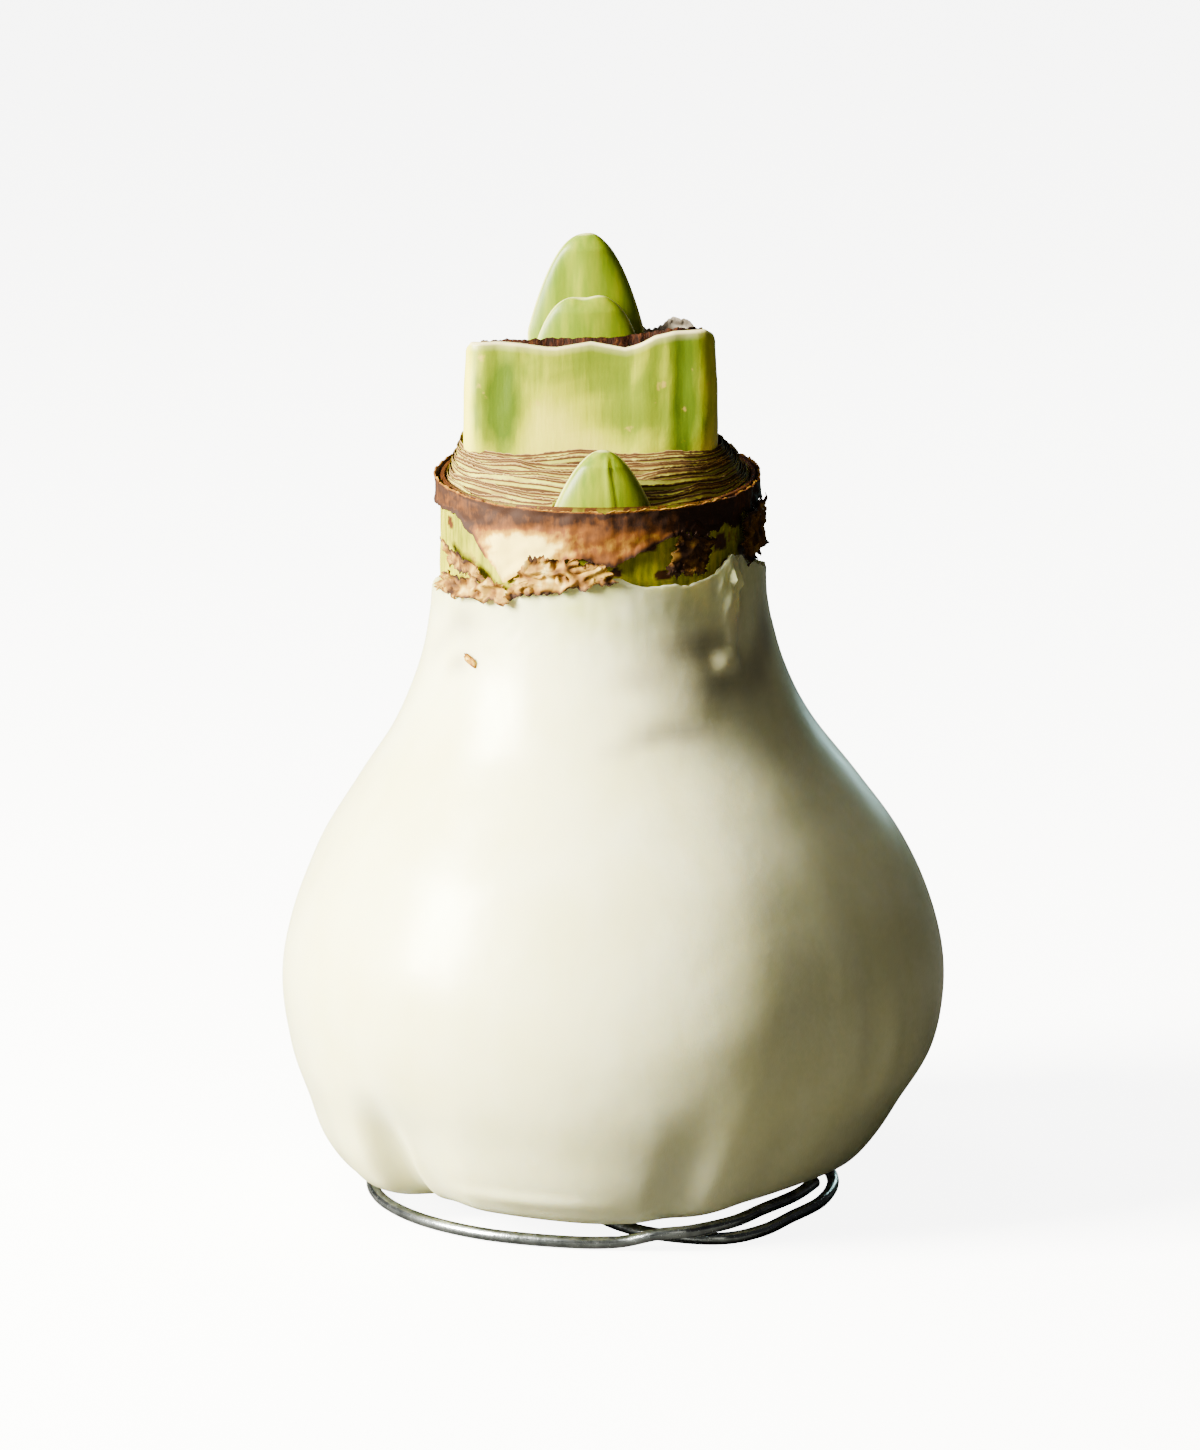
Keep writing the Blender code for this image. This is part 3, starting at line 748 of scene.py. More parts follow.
for ring in scale_rings[:2]:
    slot = leaf("slot_form", SHOOT_PLACE, FLOOR - 2.0, 118.0, slot_width, 2.6, slot_detail, 32, 12)
    apply_modifier(ring, "BOOLEAN", operation="DIFFERENCE", solver="EXACT", object=slot)
    bpy.data.objects.remove(slot, do_unlink=True)
for index, ring in enumerate(scale_rings):
    finish_piece(ring, cut_scale, [f"neck_scale_{index + 1}"], sharp=80)

# %% [markdown]
# ## Tall collar
#
# One leaf base stands taller, trimmed across. It is a flattened tube with a thick juicy
# wall, shallow upright flutes and a wavy cut. The wall's rows go up outside, over a
# rounded lip and down inside, so that the cut has a real edge that catches light.

# %% Collar
SHEATH_WALL = 1.5
FRONT_CUT = [
    (-22.0, 124.4), (-20.8, 125.7), (-16.7, 125.9), (-13.4, 125.7), (-9.5, 125.2), (-6.4, 125.1),
    (-5.3, 125.8), (-1.2, 126.1), (0.5, 125.3), (2.1, 125.0), (4.4, 125.8), (6.3, 126.8),
    (9.1, 127.4), (13.8, 127.6), (14.9, 127.0), (15.7, 125.7),
]
BACK_DROP = 3.4


def collar_top(x, y):
    front = along(FRONT_CUT, x)
    middle = along(FRONT_CUT, 0.5 * x) * 0.4 + front * 0.6
    return front + (middle - BACK_DROP - front) * ramp(y, -6.5, 7.0)


def flutes(x, y):
    """Upright hollows and ribs in the collar's faces, in millimetres outwards."""
    front = ramp(-y, -2.0, 4.0)
    hollows = 0.75 * bell(x, -16.6, 3.2) + 0.5 * bell(x, 0.6, 2.6) + 0.6 * bell(x, 10.4, 2.8)
    ribs = 0.45 * bell(x, -8.5, 5.0) + 0.3 * bell(x, 4.6, 2.5)
    back = 0.4 * math.sin(0.7 * x) + 0.2 * math.sin(1.6 * x + 1)
    return 0.55 * (ribs - hollows) * front + back * (1 - front)


COLLAR_ROWS = 34
COLLAR_SEGMENTS = 260
# The rounded lip: millimetres inwards from the outer face, and up from the cut.
LIP = [(0.0, -0.5), (0.12, -0.15), (0.4, 0.0), (0.8, 0.02), (1.2, -0.05), (1.42, -0.3),
       (SHEATH_WALL, -1.2)]


def collar_point(angle, row):
    on_wall = row < COLLAR_ROWS
    on_lip = COLLAR_ROWS <= row < COLLAR_ROWS + len(LIP)
    up = min(row / (COLLAR_ROWS - 1), 1.0) if on_wall or on_lip else 0.0
    squareness = 2.7 + 3.0 * ramp(up, 0.3, 0.6)
    rim = oval(SHEATH_HALF_WIDTH - 0.05, SHEATH_HALF_DEPTH - 0.7, angle, squareness)
    outward = rim - SHEATH_CENTRE
    outward = Vector((outward.x * 0.16, outward.y, 0)).normalized()
    top = collar_top(rim.x, rim.y)
    if on_wall:
        inward = 0.0
        z = FLOOR + (top - 0.5 - FLOOR) * up
    elif on_lip:
        inward, drop = LIP[row - COLLAR_ROWS]
        z = top + drop
    else:
        inward = SHEATH_WALL
        z = FLOOR
    belly = 0.35 * bell(z, 112, 14) + 0.12 * grain(rim.x, rim.y, z, 6.0)
    out = flutes(rim.x, rim.y) * ramp(z, 104, 112) + belly - 0.5
    here = rim + outward * (out * 0.8 - inward)
    sideways = rim.x - SHEATH_CENTRE.x
    here.x -= 0.25 * ramp(z, 118, 126) * math.copysign(ramp(abs(sideways), 10, 18), sideways)
    return Vector((here.x, here.y, z))


collar = tube("leaf_collar", COLLAR_SEGMENTS, COLLAR_ROWS + len(LIP) + 1, collar_point)
close_loop(collar)

# %% [markdown]
# ### Collar finish
#
# The collar is yellower where its wall is thick and stretched, and deep green in the hollows.
# Its two side corners are painted paler, a painted highlight. A number painted on the points
# follows the flutes, so colour and shape agree.

# %% Collar colour
def collar_tone_and_highlight(x, y, z):
    front = ramp(-y, -2.0, 3.0)
    deep = 0.9 * bell(x, -15.8, 4.2) * bell(z, 117, 12)
    deep += 0.55 * bell(x, 0.5, 2.2) * ramp(z, 112, 124)
    deep += 0.8 * bell(x, 10.2, 3.0) + 0.25 * bell(x, 6.0, 2.5)
    deep += 0.25 * bell(x, -4, 3) * ramp(z, 116, 124)
    pale = 0.8 * bell(x, -9.0, 6.5) * bell(z, 114, 9)
    # Painted highlight: both side corners of the collar are made paler, as if they caught the light.
    pale += 0.9 * ramp(x, 12.5, 15.2) + 0.9 * ramp(-x, 19.4, 21.2)
    pale += 0.3 * bell(z, 109, 6) + 0.5 * bell(x, -3.0, 6.0) * bell(z, 111, 6)
    cloud = 0.18 * grain(x, y, z * 0.4, 3.0)
    value = 0.46 + 0.7 * (pale - deep) * (0.35 + 0.65 * front) + cloud
    return max(0.0, min(1.0, value))


paint(collar, "tone", collar_tone_and_highlight)
paint(collar, "cut", lambda x, y, z: ramp(z - collar_top(x, y), -0.7, -0.1))
collar_green, tree, shader, place = new_material("collar_green")
tone = add_node(tree, "ShaderNodeAttribute", attribute_name="tone").outputs["Fac"]
cut = add_node(tree, "ShaderNodeAttribute", attribute_name="cut").outputs["Fac"]
long_map = add_node(tree, "ShaderNodeMapping", {"Vector": place, "Scale": (1.0, 1.0, 0.12)})
veins = add_node(tree, "ShaderNodeTexNoise", {"Vector": long_map.outputs[0], "Scale": per_mm(0.7),
                                              "Detail": 3.0})
vein_shift = add_node(tree, "ShaderNodeMapRange", {"Value": veins.outputs["Fac"], 3: -0.12, 4: 0.12})
toned = add_node(tree, "ShaderNodeMath", {0: tone, 1: vein_shift.outputs[0]}, operation="ADD")
colour = add_node(tree, "ShaderNodeValToRGB", {"Fac": toned.outputs[0]},
                  stops=[(0.08, "#465A00"), (0.38, "#6E7C00"), (0.62, "#A8AC00"), (0.95, "#D4CC3C")])
scar = add_node(tree, "ShaderNodeTexNoise", {"Vector": place, "Scale": per_mm(2.2), "Detail": 4.0})
scar_mask = add_node(tree, "ShaderNodeMapRange", {"Value": scar.outputs["Fac"], 1: 0.66, 2: 0.74,
                                                  3: 0.0, 4: 0.45})
lip_mask = add_node(tree, "ShaderNodeMapRange", {"Value": cut, 3: 0.0, 4: 0.75})
collar_colour = colour.outputs[0]
for mask, tint in ((scar_mask.outputs[0], "#D0A24E"), (lip_mask.outputs[0], "#D9C896")):
    collar_colour = add_node(tree, "ShaderNodeMix", {0: mask, 6: collar_colour, 7: srgb(tint)},
                             data_type="RGBA").outputs[2]
bump = add_node(tree, "ShaderNodeBump", {"Height": veins.outputs["Fac"], "Strength": 0.2,
                                         "Distance": 0.2 * MM})
set_shader(shader, Base_Color=collar_colour, Normal=bump.outputs[0])
set_shader(shader, Roughness=0.36, Specular_IOR_Level=0.35, Subsurface_Weight=0.15,
           Subsurface_Scale=1.6 * MM, Subsurface_Radius=(0.6, 1.0, 0.1))
finish_piece(collar, collar_green, ["leaf_sheath"])

# %% [markdown]
# ## Membrane inside the collar
#
# The collar is lined with a dead brown leaf, fibrous and torn. It shows as a dark line
# along the cut. It is the same kind of wall, thinner, with a ragged top.

# %% Membrane
MEMBRANE_TOP = [(-21.0, 125.6), (-15.0, 126.1), (-9.0, 126.3), (0.0, 126.5), (5.0, 127.0),
                (9.0, 127.7), (15.0, 127.9)]
# Each row of its wall: share of the height, and millimetres inwards.
MEMBRANE_ROWS = [(0.0, 0.0), (0.6, 0.0), (0.9, 0.05), (0.97, 0.1), (1.0, 0.15), (1.0, 0.3),
                 (0.97, 0.38), (0.9, 0.42), (0.6, 0.45), (0.0, 0.45)]


def membrane_point(angle, row):
    wall = oval(SHEATH_HALF_WIDTH - 2.1, SHEATH_HALF_DEPTH - 2.75, angle)
    outward = Vector(((wall - SHEATH_CENTRE).x * 0.16, (wall - SHEATH_CENTRE).y, 0)).normalized()
    front = along(MEMBRANE_TOP, wall.x)
    rag = 0.3 * ripple(Vector((wall.x, wall.y, 0)), 0.8)
    rag += 0.15 * ripple(Vector((wall.x, wall.y, 3)), 0.25)
    top = front - (BACK_DROP + 0.4) * ramp(wall.y, -4.0, 5.0) + rag - 0.15
    fold = 0.25 * ripple(Vector((wall.x, wall.y, 9)), 1.6)
    lean_in = 0.9 * bell(wall.x, -8.0, 5.0) + 0.9 * bell(wall.x, 4.5, 6.0)
    rising, inset = MEMBRANE_ROWS[row]
    z = FLOOR + (top - FLOOR) * rising
    inward = inset + (fold + lean_in * ramp(rising, 0.85, 1.0)) * ramp(rising, 0.5, 1.0)
    here = wall - outward * inward * (1.0 if wall.y < 0 else 0.6)
    return Vector((here.x, here.y, z))


membrane = tube("fibrous_membrane", 360, len(MEMBRANE_ROWS), membrane_point)
close_loop(membrane)
dead_leaf, tree, shader, place = new_material("dead_leaf_fibre")
long_map = add_node(tree, "ShaderNodeMapping", {"Vector": place, "Scale": (1.0, 1.0, 0.25)})
fibres = add_node(tree, "ShaderNodeTexNoise", {"Vector": long_map.outputs[0], "Scale": per_mm(0.4),
                                               "Detail": 4.0, "Roughness": 0.7})
colour = add_node(tree, "ShaderNodeValToRGB", {"Fac": fibres.outputs["Fac"]},
                  stops=[(0.35, "#120500"), (0.55, "#2C1104"), (0.72, "#5C3414")])
bump = add_node(tree, "ShaderNodeBump", {"Height": fibres.outputs["Fac"], "Strength": 0.8,
                                         "Distance": 0.3 * MM})
set_shader(shader, Base_Color=colour.outputs[0], Normal=bump.outputs[0], Roughness=0.8,
           Specular_IOR_Level=0.1)
finish_piece(membrane, dead_leaf, ["inner_membrane"], sharp=80)

# %% [markdown]
# ## Leaf tips
#
# Two new leaves stand in the collar, the short one before the tall one. Their outlines
# follow a power of the depth below the tip, which gives a blunt end and slowly
# spreading sides.

# %% Leaves
def tall_width(depth):
    return min(2.55 * depth ** 0.45, 8.4)


def short_width(depth):
    return min(4.05 * depth ** 0.31, 7.6)


def tall_detail(x, y, depth, side):
    bow = 0.9 * (x / 8.4) ** 2
    channel = 0.25 * bell(x, -2.4, 2.6) * ramp(depth, 1.0, 6.0) * (1.0 if side < 0 else 0.0)
    return 0.0, bow + channel, 0.15 * bell(x, 1.2, 2.5) * bell(depth, 0.0, 1.5)


def short_detail(x, y, depth, side):
    bow = 0.8 * (x / 7.6) ** 2
    notch = -0.28 * bell(x, -0.6, 1.8) + 0.18 * bell(x, 2.2, 2.0)
    return 0.0, bow, notch * bell(depth, 0.0, 2.5)


leaf_green = plant_green("new_leaf_green", "#808A00", "#6A7C00", "#526A00", 1.1, 0.38, scatter=2.0)
tall = leaf("tall_leaf_tip", (-3.8, 1.6), FLOOR, 140.4, tall_width, 1.5, tall_detail)
finish_piece(tall, leaf_green, ["leaf_tall"])
short = leaf("short_leaf_tip", (-3.6, -2.2), FLOOR, 131.9, short_width, 1.2, short_detail)
finish_piece(short, leaf_green, ["leaf_short"])

# %% [markdown]
# ## Papery skin
#
# The bulb's outer skin is dry and torn. Each scrap is a grid bent round the neck, with a
# ragged outline, a crumple and a curl at its free edge, then given a paper's thickness.
# The band round the rim is the largest, and its lower edge is given as a list of points.

# %% Scraps of paper
def scrap(name, columns, rows, place):
    """A grid whose point (across, up), each 0 to 1, goes to angle, height and distance out."""
    made = new_grid(name, columns, rows)
    layer = made.data.attributes.new("border", "FLOAT", "POINT")
    for vert, cell in zip(made.data.vertices, layer.data):
        across = vert.co.x + 0.5
        up = vert.co.y + 0.5
        degrees, z, out = place(across, up)
        angle = math.radians(degrees)
        cell.value = ramp(2 * abs(up - 0.5), 0.72, 1.0)
        vert.co = Vector((NECK_CENTRE.x + out * math.cos(angle),
                          NECK_CENTRE.y + out * math.sin(angle), z)) * MM
    return made


def thicken(obj, thickness):
    only(obj)
    middle = max(obj.data.polygons, key=lambda face: face.area)
    away = middle.center - NECK_CENTRE * MM
    if middle.normal.x * away.x + middle.normal.y * away.y < 0:
        bpy.ops.object.mode_set(mode="EDIT")
        bpy.ops.mesh.select_all(action="SELECT")
        bpy.ops.mesh.flip_normals()
        bpy.ops.object.mode_set(mode="OBJECT")
    apply_modifier(obj, "SOLIDIFY", thickness=thickness * MM, offset=1.0)


TUNIC_PAPER = 0.22
FLAKE_PAPER = 0.14
SHRED_PAPER = 0.16
TUNIC_EDGE = [
    (-180, 102.4), (-158, 102.1), (-152, 102.2), (-146, 101.3), (-142, 99.9), (-139, 99.6), (-136, 98.2),
    (-133, 96.9), (-128, 95.7), (-125, 93.5), (-122, 94.1), (-117, 95.4), (-110, 96.6), (-102, 97.4),
    (-95, 97.6), (-89, 96.2), (-84, 96.5), (-75, 98.4), (-66, 99.9), (-58, 100.7), (-53, 101.8),
    (-49, 100.8), (-44, 100.2), (-40, 101.4), (-34, 100.4), (-28, 102.4), (-18, 101.4), (-8, 102.9),
    (8, 101.8), (24, 102.5), (45, 99.4), (70, 97.8), (96, 98.6), (118, 96.9), (140, 98.8), (160, 101.2),
    (180, 102.4),
]


def tunic_place(across, up):
    degrees = -180 + 360 * across
    angle = math.radians(degrees)
    rim = rim_z(NECK_CENTRE.y + 23.1 * math.sin(angle)) + 0.12
    frill = 0.35 * noise.noise(Vector((math.cos(angle), math.sin(angle), 0)) * 14)
    frill += 0.18 * noise.noise(Vector((math.cos(angle), math.sin(angle), 0)) * 60)
    tear = 0.3 * noise.noise(Vector((math.cos(angle), math.sin(angle), 2)) * 26)
    tear += 0.16 * noise.noise(Vector((math.cos(angle), math.sin(angle), 4)) * 70)
    low = along(TUNIC_EDGE, degrees) + tear
    z = low + (rim + frill - low) * up
    crumple = 0.24 * grain(23 * math.cos(angle), 23 * math.sin(angle), 1.4 * z, 3.4, 2)
    curl = 0.55 * (1 - ramp(up, 0.0, 0.22)) * (0.4 + 0.6 * noise.noise(Vector((degrees / 6, 0, 5))))
    return degrees, z, 23.15 + crumple + max(curl, -0.1) + 0.12 * ramp(up, 0.9, 1.0)


tunic = scrap("torn_tunic", 720, 26, tunic_place)
face_out(tunic)
thicken(tunic, TUNIC_PAPER)

# %% [markdown]
# ### Papery finish
#
# Dead skin is a thin cellulose sheet: matt, brown where it is old and pale cream where
# it has just torn from the living flesh. Numbers on the points say where it is pale.

# %% Paper finish
def pale_skin(x, y, z):
    angle = math.atan2(y, x - NECK_CENTRE.x)
    front = round_bell(angle, -117, 31) * (1 - ramp(z, 98.8, 102.4))
    orange = 0.45 * round_bell(angle, -108, 40) * (1 - ramp(z, 100.0, 103.2))
    reddish = 0.35 * round_bell(angle, -76, 26) * (1 - ramp(z, 100.4, 102.6))
    rough = 0.25 * grain(x, y, 1.5 * z, 2.0)
    lip = 0.75 * ramp(z, rim_z(y) - 0.3, rim_z(y) + 0.15)
    return max(0.0, min(1.0, max(1.35 * front, orange, reddish, lip) + rough * (0.5 + front)))


def paper(name, dark, brown, light, pale):
    made, tree, shader, place = new_material(name)
    mark = add_node(tree, "ShaderNodeAttribute", attribute_name="pale").outputs["Fac"]
    long_map = add_node(tree, "ShaderNodeMapping", {"Vector": place, "Scale": (1.0, 1.0, 0.35)})
    fibres = add_node(tree, "ShaderNodeTexNoise", {"Vector": long_map.outputs[0], "Scale": per_mm(0.8),
                                                   "Detail": 4.0, "Roughness": 0.65})
    wash = add_node(tree, "ShaderNodeTexNoise", {"Vector": place, "Scale": per_mm(4.0), "Detail": 3.0})
    shift = add_node(tree, "ShaderNodeMapRange", {"Value": fibres.outputs["Fac"], 3: -0.22, 4: 0.22})
    shifted = add_node(tree, "ShaderNodeMath", {0: mark, 1: shift.outputs[0]}, operation="ADD")
    washed = add_node(tree, "ShaderNodeMapRange", {"Value": wash.outputs["Fac"], 3: -0.18, 4: 0.18})
    border = add_node(tree, "ShaderNodeAttribute", attribute_name="border").outputs["Fac"]
    scorch = add_node(tree, "ShaderNodeMath", {0: border, 1: -0.34, 2: washed.outputs[0]},
                      operation="MULTIPLY_ADD")
    total = add_node(tree, "ShaderNodeMath", {0: shifted.outputs[0], 1: scorch.outputs[0]},
                     operation="ADD")
    colour = add_node(tree, "ShaderNodeValToRGB", {"Fac": total.outputs[0]},
                      stops=[(0.0, dark), (0.28, brown), (0.58, light), (0.85, pale)])
    bump = add_node(tree, "ShaderNodeBump", {"Height": fibres.outputs["Fac"], "Strength": 0.22,
                                             "Distance": 0.2 * MM})
    set_shader(shader, Base_Color=colour.outputs[0], Normal=bump.outputs[0], Roughness=0.75,
               Specular_IOR_Level=0.2)
    return made


old_skin = paper("old_papery_skin", "#2A1406", "#66380A", "#A67C1C", "#DCC468")
paint(tunic, "pale", pale_skin)
finish_piece(tunic, old_skin, ["outer_tunic"], sharp=80)

# %% [markdown]
# ### Loose flakes
#
# The lower scraps are crumpled and lie over the wax's edge. Each has four corners round
# the neck, folds all over it, a lift along its lower and upper edges and a ragged outline.

# %% Flakes
def flake(name, corners, crumple, curl, seed, out=23.3, size=(60, 26)):
    """corners are (degrees, height) at low left, low right, top right and top left."""
    low_left, low_right, top_right, top_left = [Vector(c) for c in corners]

    def place(across, up):
        rag_x = noise.noise(Vector((up * 9, seed, 0))) + 0.5 * noise.noise(Vector((up * 28, seed, 3)))
        rag_y = noise.noise(Vector((across * 9, seed, 7)))
        rag_y += 0.5 * noise.noise(Vector((across * 28, seed, 5)))
        edge_x = abs(across - 0.5) * 2
        edge_y = abs(up - 0.5) * 2
        base = low_left.lerp(low_right, across).lerp(top_left.lerp(top_right, across), up)
        degrees = base.x + 2.2 * rag_x * edge_x
        z = base.y + 0.9 * rag_y * edge_y
        fold = 1.0 - 2.6 * abs(grain(degrees * 0.42, 1.6 * z, seed, 3.0, 1))
        crease = 0.6 - 2.0 * abs(grain(degrees * 0.42, z, seed + 20, 1.7, 1))
        wrinkle = crumple * max(fold, crease, -0.2)
        lift = curl * (1 - ramp(up, 0.0, 0.45)) + 0.3 * curl * ramp(up, 0.8, 1.0)
        return degrees, z, out + wrinkle + lift

    made = scrap(name, size[0], size[1], place)
    face_out(made)
    thicken(made, FLAKE_PAPER)
    return made


flakes = [
    (flake("left_strip", [(-150, 95.0), (-131, 93.2), (-135, 95.4), (-158, 98.4)], 0.6, 0.4, 1.0, 23.9),
     "tunic_flake_left", 0.32),
    (flake("left_crumple", [(-159, 90.8), (-120, 90.8), (-124, 93.8), (-153, 93.6)], 0.8, 0.4, 2.0, 24.3,
           (90, 34)), "tunic_flake_front_left", 0.42),
    (flake("front_crumple", [(-122, 91.6), (-84, 94.4), (-88, 97.0), (-113, 98.0)], 0.8, 0.25, 3.0, 24.25,
           (110, 40)), "tunic_flake_front", 0.4),
    (flake("right_blotch", [(-66, 94.9), (-51, 94.6), (-45, 99.4), (-60, 100.9)], 0.5, 0.4, 4.0, 23.3),
     "tunic_flake_right", 0.12),
    (flake("right_corner", [(-30, 94.8), (-5, 96.6), (-6, 103.6), (-30, 101.8)], 0.8, 0.5, 5.0, 23.5),
     "tunic_flake_corner", 0.16),
]
crumpled_skin = paper("crumpled_papery_skin", "#2C1606", "#6C4610", "#A07C2C", "#CCB468")
for piece, node_name, pallor in flakes:
    paint(piece, "pale", lambda x, y, z: max(0.0, min(1.0, pallor + 0.5 * grain(x, y, z, 1.9, 2))))
    finish_piece(piece, crumpled_skin, [node_name], sharp=35)

# %% [markdown]
# ### The chip in the wax
#
# One small chip of skin is caught in the wax. A cube, pressed flat, with its corners
# rounded by a bevel and its edges moved about, is enough at two millimetres.

# %% Chip
CHIP_CENTRE = Vector((-20.2, -17.6, 81.9))
CHIP_LENGTH = 2.3
CHIP_THICKNESS = 0.5
CHIP_HEIGHT = 1.2
CHIP_SLANT = 0.9
bpy.ops.object.select_all(action="DESELECT")
bpy.ops.mesh.primitive_cube_add(size=1)
chip = bpy.context.object
chip.name = "caught_chip"
apply_modifier(chip, "BEVEL", width=0.2, segments=2)
apply_modifier(chip, "SUBSURF", levels=2, render_levels=2)
chip_out = Vector((CHIP_CENTRE.x, CHIP_CENTRE.y, 0)).normalized()
chip_side = Vector((-chip_out.y, chip_out.x, 0))
for vert in chip.data.vertices:
    bend = 0.3 * noise.noise(vert.co * 4)
    offset = chip_side * (vert.co.x * CHIP_LENGTH) + chip_out * (vert.co.y * CHIP_THICKNESS + bend)
    height = vert.co.z * CHIP_HEIGHT - vert.co.x * CHIP_SLANT + bend
    vert.co = (CHIP_CENTRE + offset + Vector((0, 0, height))) * MM
face_out(chip)
paint(chip, "pale", lambda x, y, z: 0.4 + 0.4 * grain(x, y, z, 0.8))
finish_piece(chip, old_skin, ["tunic_chip"])

# %% [markdown]
# ## The grey shred
#
# Behind the collar's right end a thin grey scrap of membrane stands up and curls over.

# %% Shred
def shred_place(across, up):
    x = 3.6 + 9.4 * across
    y = 3.6 - 1.9 * across * across + 0.5 * math.sin(5 * across) * up
    rag = 0.5 * noise.noise(Vector((across * 7, 0, 3))) + 0.25 * noise.noise(Vector((across * 25, 0, 6)))
    top = 126.4 + 1.9 * bell(across, 0.62, 0.4) + rag - 0.9 * ramp(across, 0.85, 1.0)
    z = 112 + (top - 112) * up
    curl = 0.9 * ramp(up, 0.93, 1.0) * bell(across, 0.65, 0.4)
    return x, y - curl, z


shred = new_grid("grey_shred", 60, 50)
for vert in shred.data.vertices:
    vert.co = Vector(shred_place(vert.co.x + 0.5, vert.co.y + 0.5)) * MM
apply_modifier(shred, "SOLIDIFY", thickness=SHRED_PAPER * MM, offset=0.0)
face_out(shred)
paint(shred, "pale", lambda x, y, z: max(0.0, min(1.0, 0.55 + 0.5 * grain(x, y, z, 1.8))))
grey_skin = paper("grey_papery_skin", "#2E2820", "#5A5246", "#80776A", "#A69C8A")
finish_piece(shred, grey_skin, ["sheath_shred"], sharp=80)

# %% [markdown]
# ## Wire stand
#
# One length of hard-drawn steel wire, bent by hand round a form and dipped in zinc. A
# curve with a round bevel is the natural tool. It follows the same points as the packed
# solid, with more of them between, and is then made a mesh.

# %% Wire
WIRE_RADIUS = 0.9
WIRE_SIDES = 8
WIRE_FLOOR = WIRE_RADIUS * math.cos(math.pi / WIRE_SIDES)
RING_RADIUS = 33.8
RING_CENTRE = (-1.4, 0.0)
HIGH = WIRE_FLOOR + 2 * WIRE_RADIUS + GAP


def wire_route():
    run_out = [(0.0, 0.0, 24.0), (0.0, 0.0, 14.0), (0.0, 0.0, 5.5), (-0.2, -0.9, 2.4),
               (-0.6, -3.2, WIRE_FLOOR + 0.3), (-0.9, -6.5, WIRE_FLOOR + 0.03),
               (-1.4, -11.0, WIRE_FLOOR), (-2.2, -18.9, WIRE_FLOOR), (3.4, -27.2, WIRE_FLOOR),
               (10.6, -31.2, WIRE_FLOOR), (16.6, -31.4, WIRE_FLOOR), (21.6, -27.2, WIRE_FLOOR),
               (25.6, -20.4, WIRE_FLOOR)]
    ring = []
    for degrees in range(-20, 261, 20):
        angle = math.radians(degrees)
        ring.append((RING_CENTRE[0] + RING_RADIUS * math.cos(angle),
                     RING_CENTRE[1] + RING_RADIUS * math.sin(angle), WIRE_FLOOR))
    ring += [(0.6, -34.2, WIRE_FLOOR + 0.2), (6.4, -35.4, HIGH - 0.4), (11.4, -34.8, HIGH),
             (17.2, -30.0, HIGH), (21.4, -23.6, HIGH), (26.4, -16.0, HIGH), (29.4, -8.8, HIGH)]
    return run_out + ring


wire_line = smooth_line(wire_route(), 8)
wire_curve = bpy.data.curves.new("bent_wire", "CURVE")
wire_curve.dimensions = "3D"
wire_curve.bevel_depth = WIRE_RADIUS * MM
wire_curve.bevel_resolution = 6
wire_curve.use_fill_caps = True
wire_curve.twist_mode = "Z_UP"
spline = wire_curve.splines.new("POLY")
spline.points.add(len(wire_line) - 1)
for point, spot in zip(spline.points, wire_line):
    point.co = (*(spot * MM), 1.0)
wire = bpy.data.objects.new("bent_wire", wire_curve)
bpy.context.scene.collection.objects.link(wire)
only(wire)
bpy.ops.object.convert(target="MESH")
wire = bpy.context.object
face_out(wire)
lift = max(0.0, CAD_BOX[0][2] - min(vert.co.z for vert in wire.data.vertices))
for vert in wire.data.vertices:
    if vert.co.z < 2 * WIRE_RADIUS * MM:
        vert.co.z += lift
print("wire length", round(sum((b - a).length for a, b in zip(wire_line, wire_line[1:]))), "mm")

# %% [markdown]
# ### Galvanised finish
#
# Hot zinc leaves a grey metal with faint spangle and fine pits.
# It is a metal, so only its colour, roughness and relief are set.

# %% Zinc
zinc, tree, shader, place = new_material("galvanised_steel")
spangle = add_node(tree, "ShaderNodeTexNoise", {"Vector": place, "Scale": per_mm(2.5), "Detail": 4.0})
pits = add_node(tree, "ShaderNodeTexNoise", {"Vector": place, "Scale": per_mm(0.5), "Detail": 3.0})
colour = add_node(tree, "ShaderNodeValToRGB", {"Fac": spangle.outputs["Fac"]},
                  stops=[(0.35, "#7A8084"), (0.65, "#B2B9BD")])
rough = add_node(tree, "ShaderNodeMapRange", {"Value": pits.outputs["Fac"], 3: 0.14, 4: 0.34})
bump = add_node(tree, "ShaderNodeBump", {"Height": pits.outputs["Fac"], "Strength": 0.35,
                                         "Distance": 0.1 * MM})
set_shader(shader, Base_Color=colour.outputs[0], Roughness=rough.outputs[0],
           Normal=bump.outputs[0], Metallic=1.0)
finish_piece(wire, zinc, ["wire_stand"])

# %% [markdown]
# ## Floor and backdrop
#
# The floor is plain and pale. Floor and sky are bright only where the camera sees them:
# to the bulb they are dim, so that its right side can fall into shade.

# %% Floor and backdrop
SEEN_FLOOR = 7.0
SEEN_SKY = 16.0
ROOM_LIGHT = 0.035
bpy.ops.object.select_all(action="DESELECT")
bpy.ops.mesh.primitive_plane_add(size=6.0, location=(0, 0, CAD_BOX[0][2] - 0.0001))
floor = bpy.context.object
floor.name = "floor"
floor_paint, tree, shader, place = new_material("pale_floor")
mottle = add_node(tree, "ShaderNodeTexNoise", {"Vector": place, "Scale": per_mm(60)})
colour = add_node(tree, "ShaderNodeValToRGB", {"Fac": mottle.outputs["Fac"]},
                  stops=[(0.3, "#F2F2F0"), (0.7, "#F6F6F4")])
sight = add_node(tree, "ShaderNodeLightPath").outputs["Is Camera Ray"]
seen_floor = add_node(tree, "ShaderNodeMix", {0: sight, 6: srgb("#33322E"), 7: colour.outputs[0]},
                      data_type="RGBA")
glow = add_node(tree, "ShaderNodeMapRange", {"Value": sight, 3: 0.0, 4: SEEN_FLOOR})
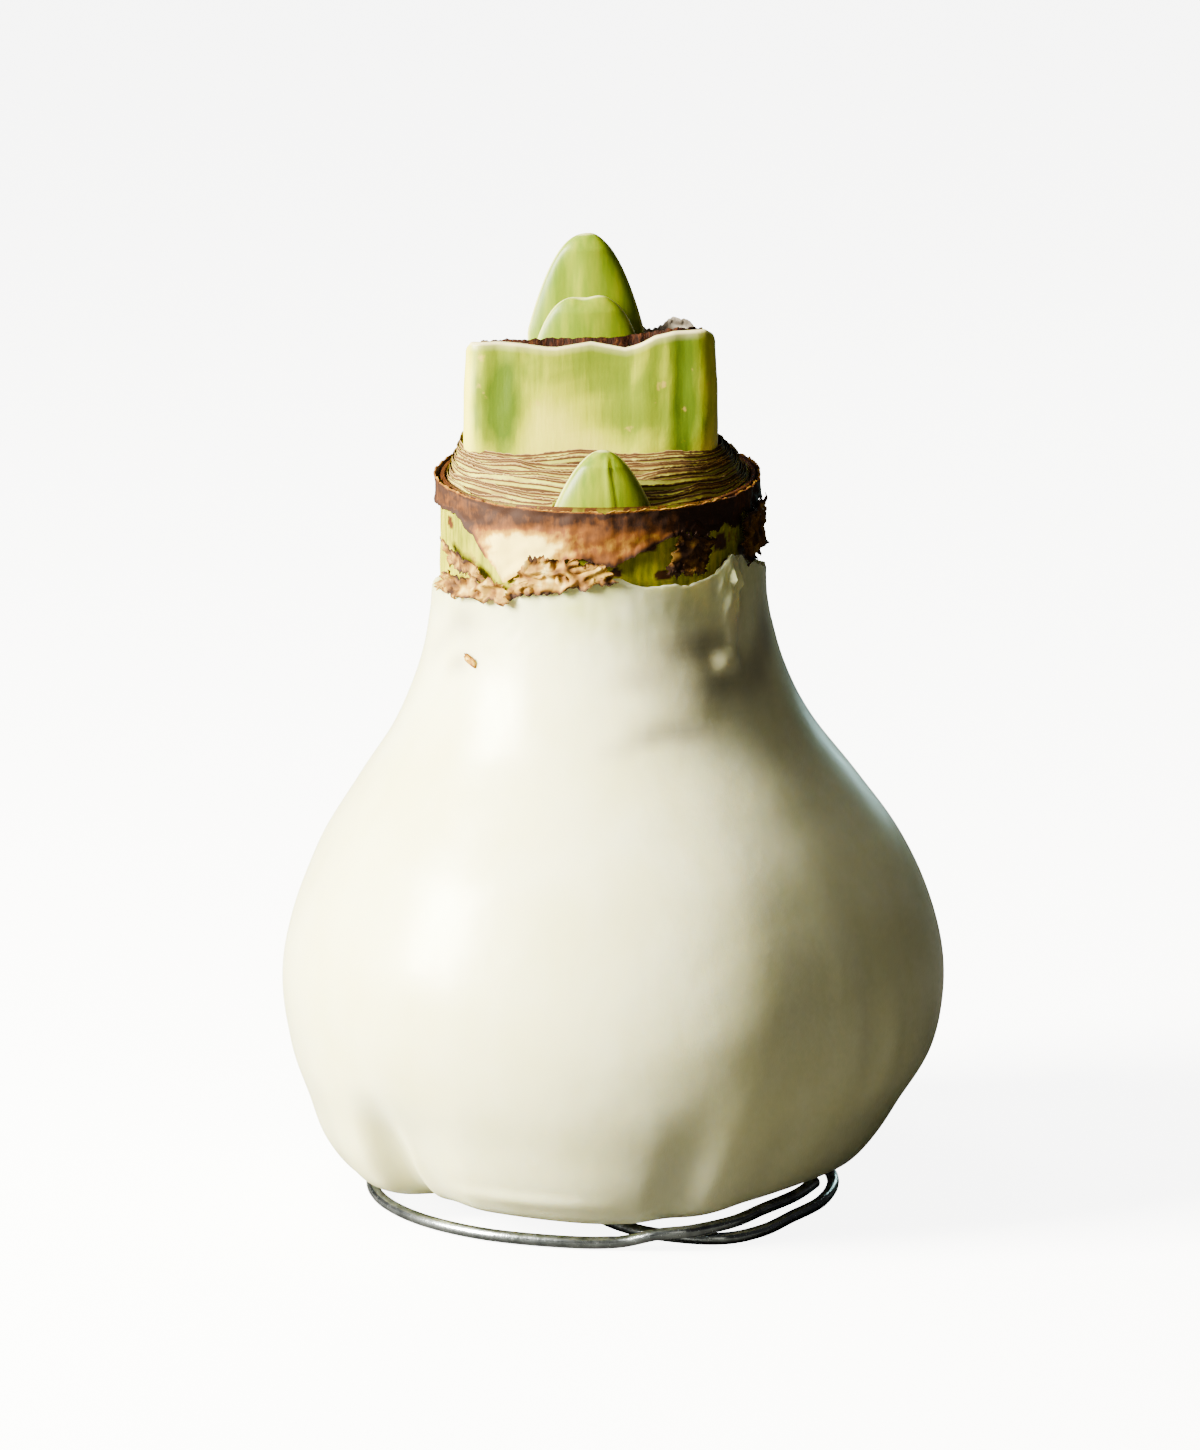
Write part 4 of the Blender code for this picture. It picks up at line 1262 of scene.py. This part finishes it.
set_shader(shader, Base_Color=seen_floor.outputs[2], Emission_Strength=glow.outputs[0],
           Roughness=0.9, Emission_Color=(1.0, 1.0, 0.99, 1.0))
floor.data.materials.append(floor_paint)

world = bpy.data.worlds.new("studio")
bpy.context.scene.world = world
world.use_nodes = True
sky = world.node_tree.nodes["Background"]
sky.inputs["Color"].default_value = (1.0, 1.0, 1.0, 1.0)
sight = add_node(world.node_tree, "ShaderNodeLightPath").outputs["Is Camera Ray"]
level = add_node(world.node_tree, "ShaderNodeMapRange", {"Value": sight, 3: ROOM_LIGHT, 4: SEEN_SKY})
world.node_tree.links.new(level.outputs[0], sky.inputs["Strength"])

# %% [markdown]
# ## Light
#
# A large soft light from the left gives the bright flank. A weak cool strip behind on the
# right draws a thin rim, and two faint lights, above and in front, open the shadows.

# %% Lights
def area_light(name, place, aim, size, power, colour):
    data = bpy.data.lights.new(name, "AREA")
    data.shape = "RECTANGLE"
    data.size, data.size_y = size
    data.energy = power
    data.color = srgb(colour)[:3]
    light = bpy.data.objects.new(name, data)
    bpy.context.scene.collection.objects.link(light)
    light.location = place
    light.rotation_euler = (Vector(aim) - Vector(place)).to_track_quat("-Z", "Y").to_euler()


AIM = (0.0, 0.0, 0.07)
area_light("key", (-0.80, -0.32, 0.42), AIM, (0.36, 0.44), 112.0, "#FFFBEA")
area_light("top", (-0.25, 0.05, 0.75), AIM, (0.3, 0.3), 4.0, "#FFFFFF")
area_light("rim", (0.34, 0.85, 0.26), AIM, (0.05, 0.4), 1.2, "#B6E2DE")
area_light("fill", (0.2, -0.95, 0.35), AIM, (0.5, 0.5), 0.7, "#FAF4DC")

# %% [markdown]
# ## Camera
#
# The camera stands a metre away and looks down by eleven and a half degrees, with the
# long lens of a product photograph.

# %% Camera
LENS = 171.47
CAMERA_DISTANCE = 1.0
CAMERA_TILT = math.radians(11.5)
CAMERA_AIM = Vector((-0.0018, 0.0, 0.069))
camera_data = bpy.data.cameras.new("camera")
camera_data.lens = LENS
camera = bpy.data.objects.new("camera", camera_data)
bpy.context.scene.collection.objects.link(camera)
view_direction = Vector((0, math.cos(CAMERA_TILT), -math.sin(CAMERA_TILT)))
camera.location = CAMERA_AIM - view_direction * CAMERA_DISTANCE
camera.rotation_euler = (math.pi / 2 - CAMERA_TILT, 0, 0)
bpy.context.scene.camera = camera
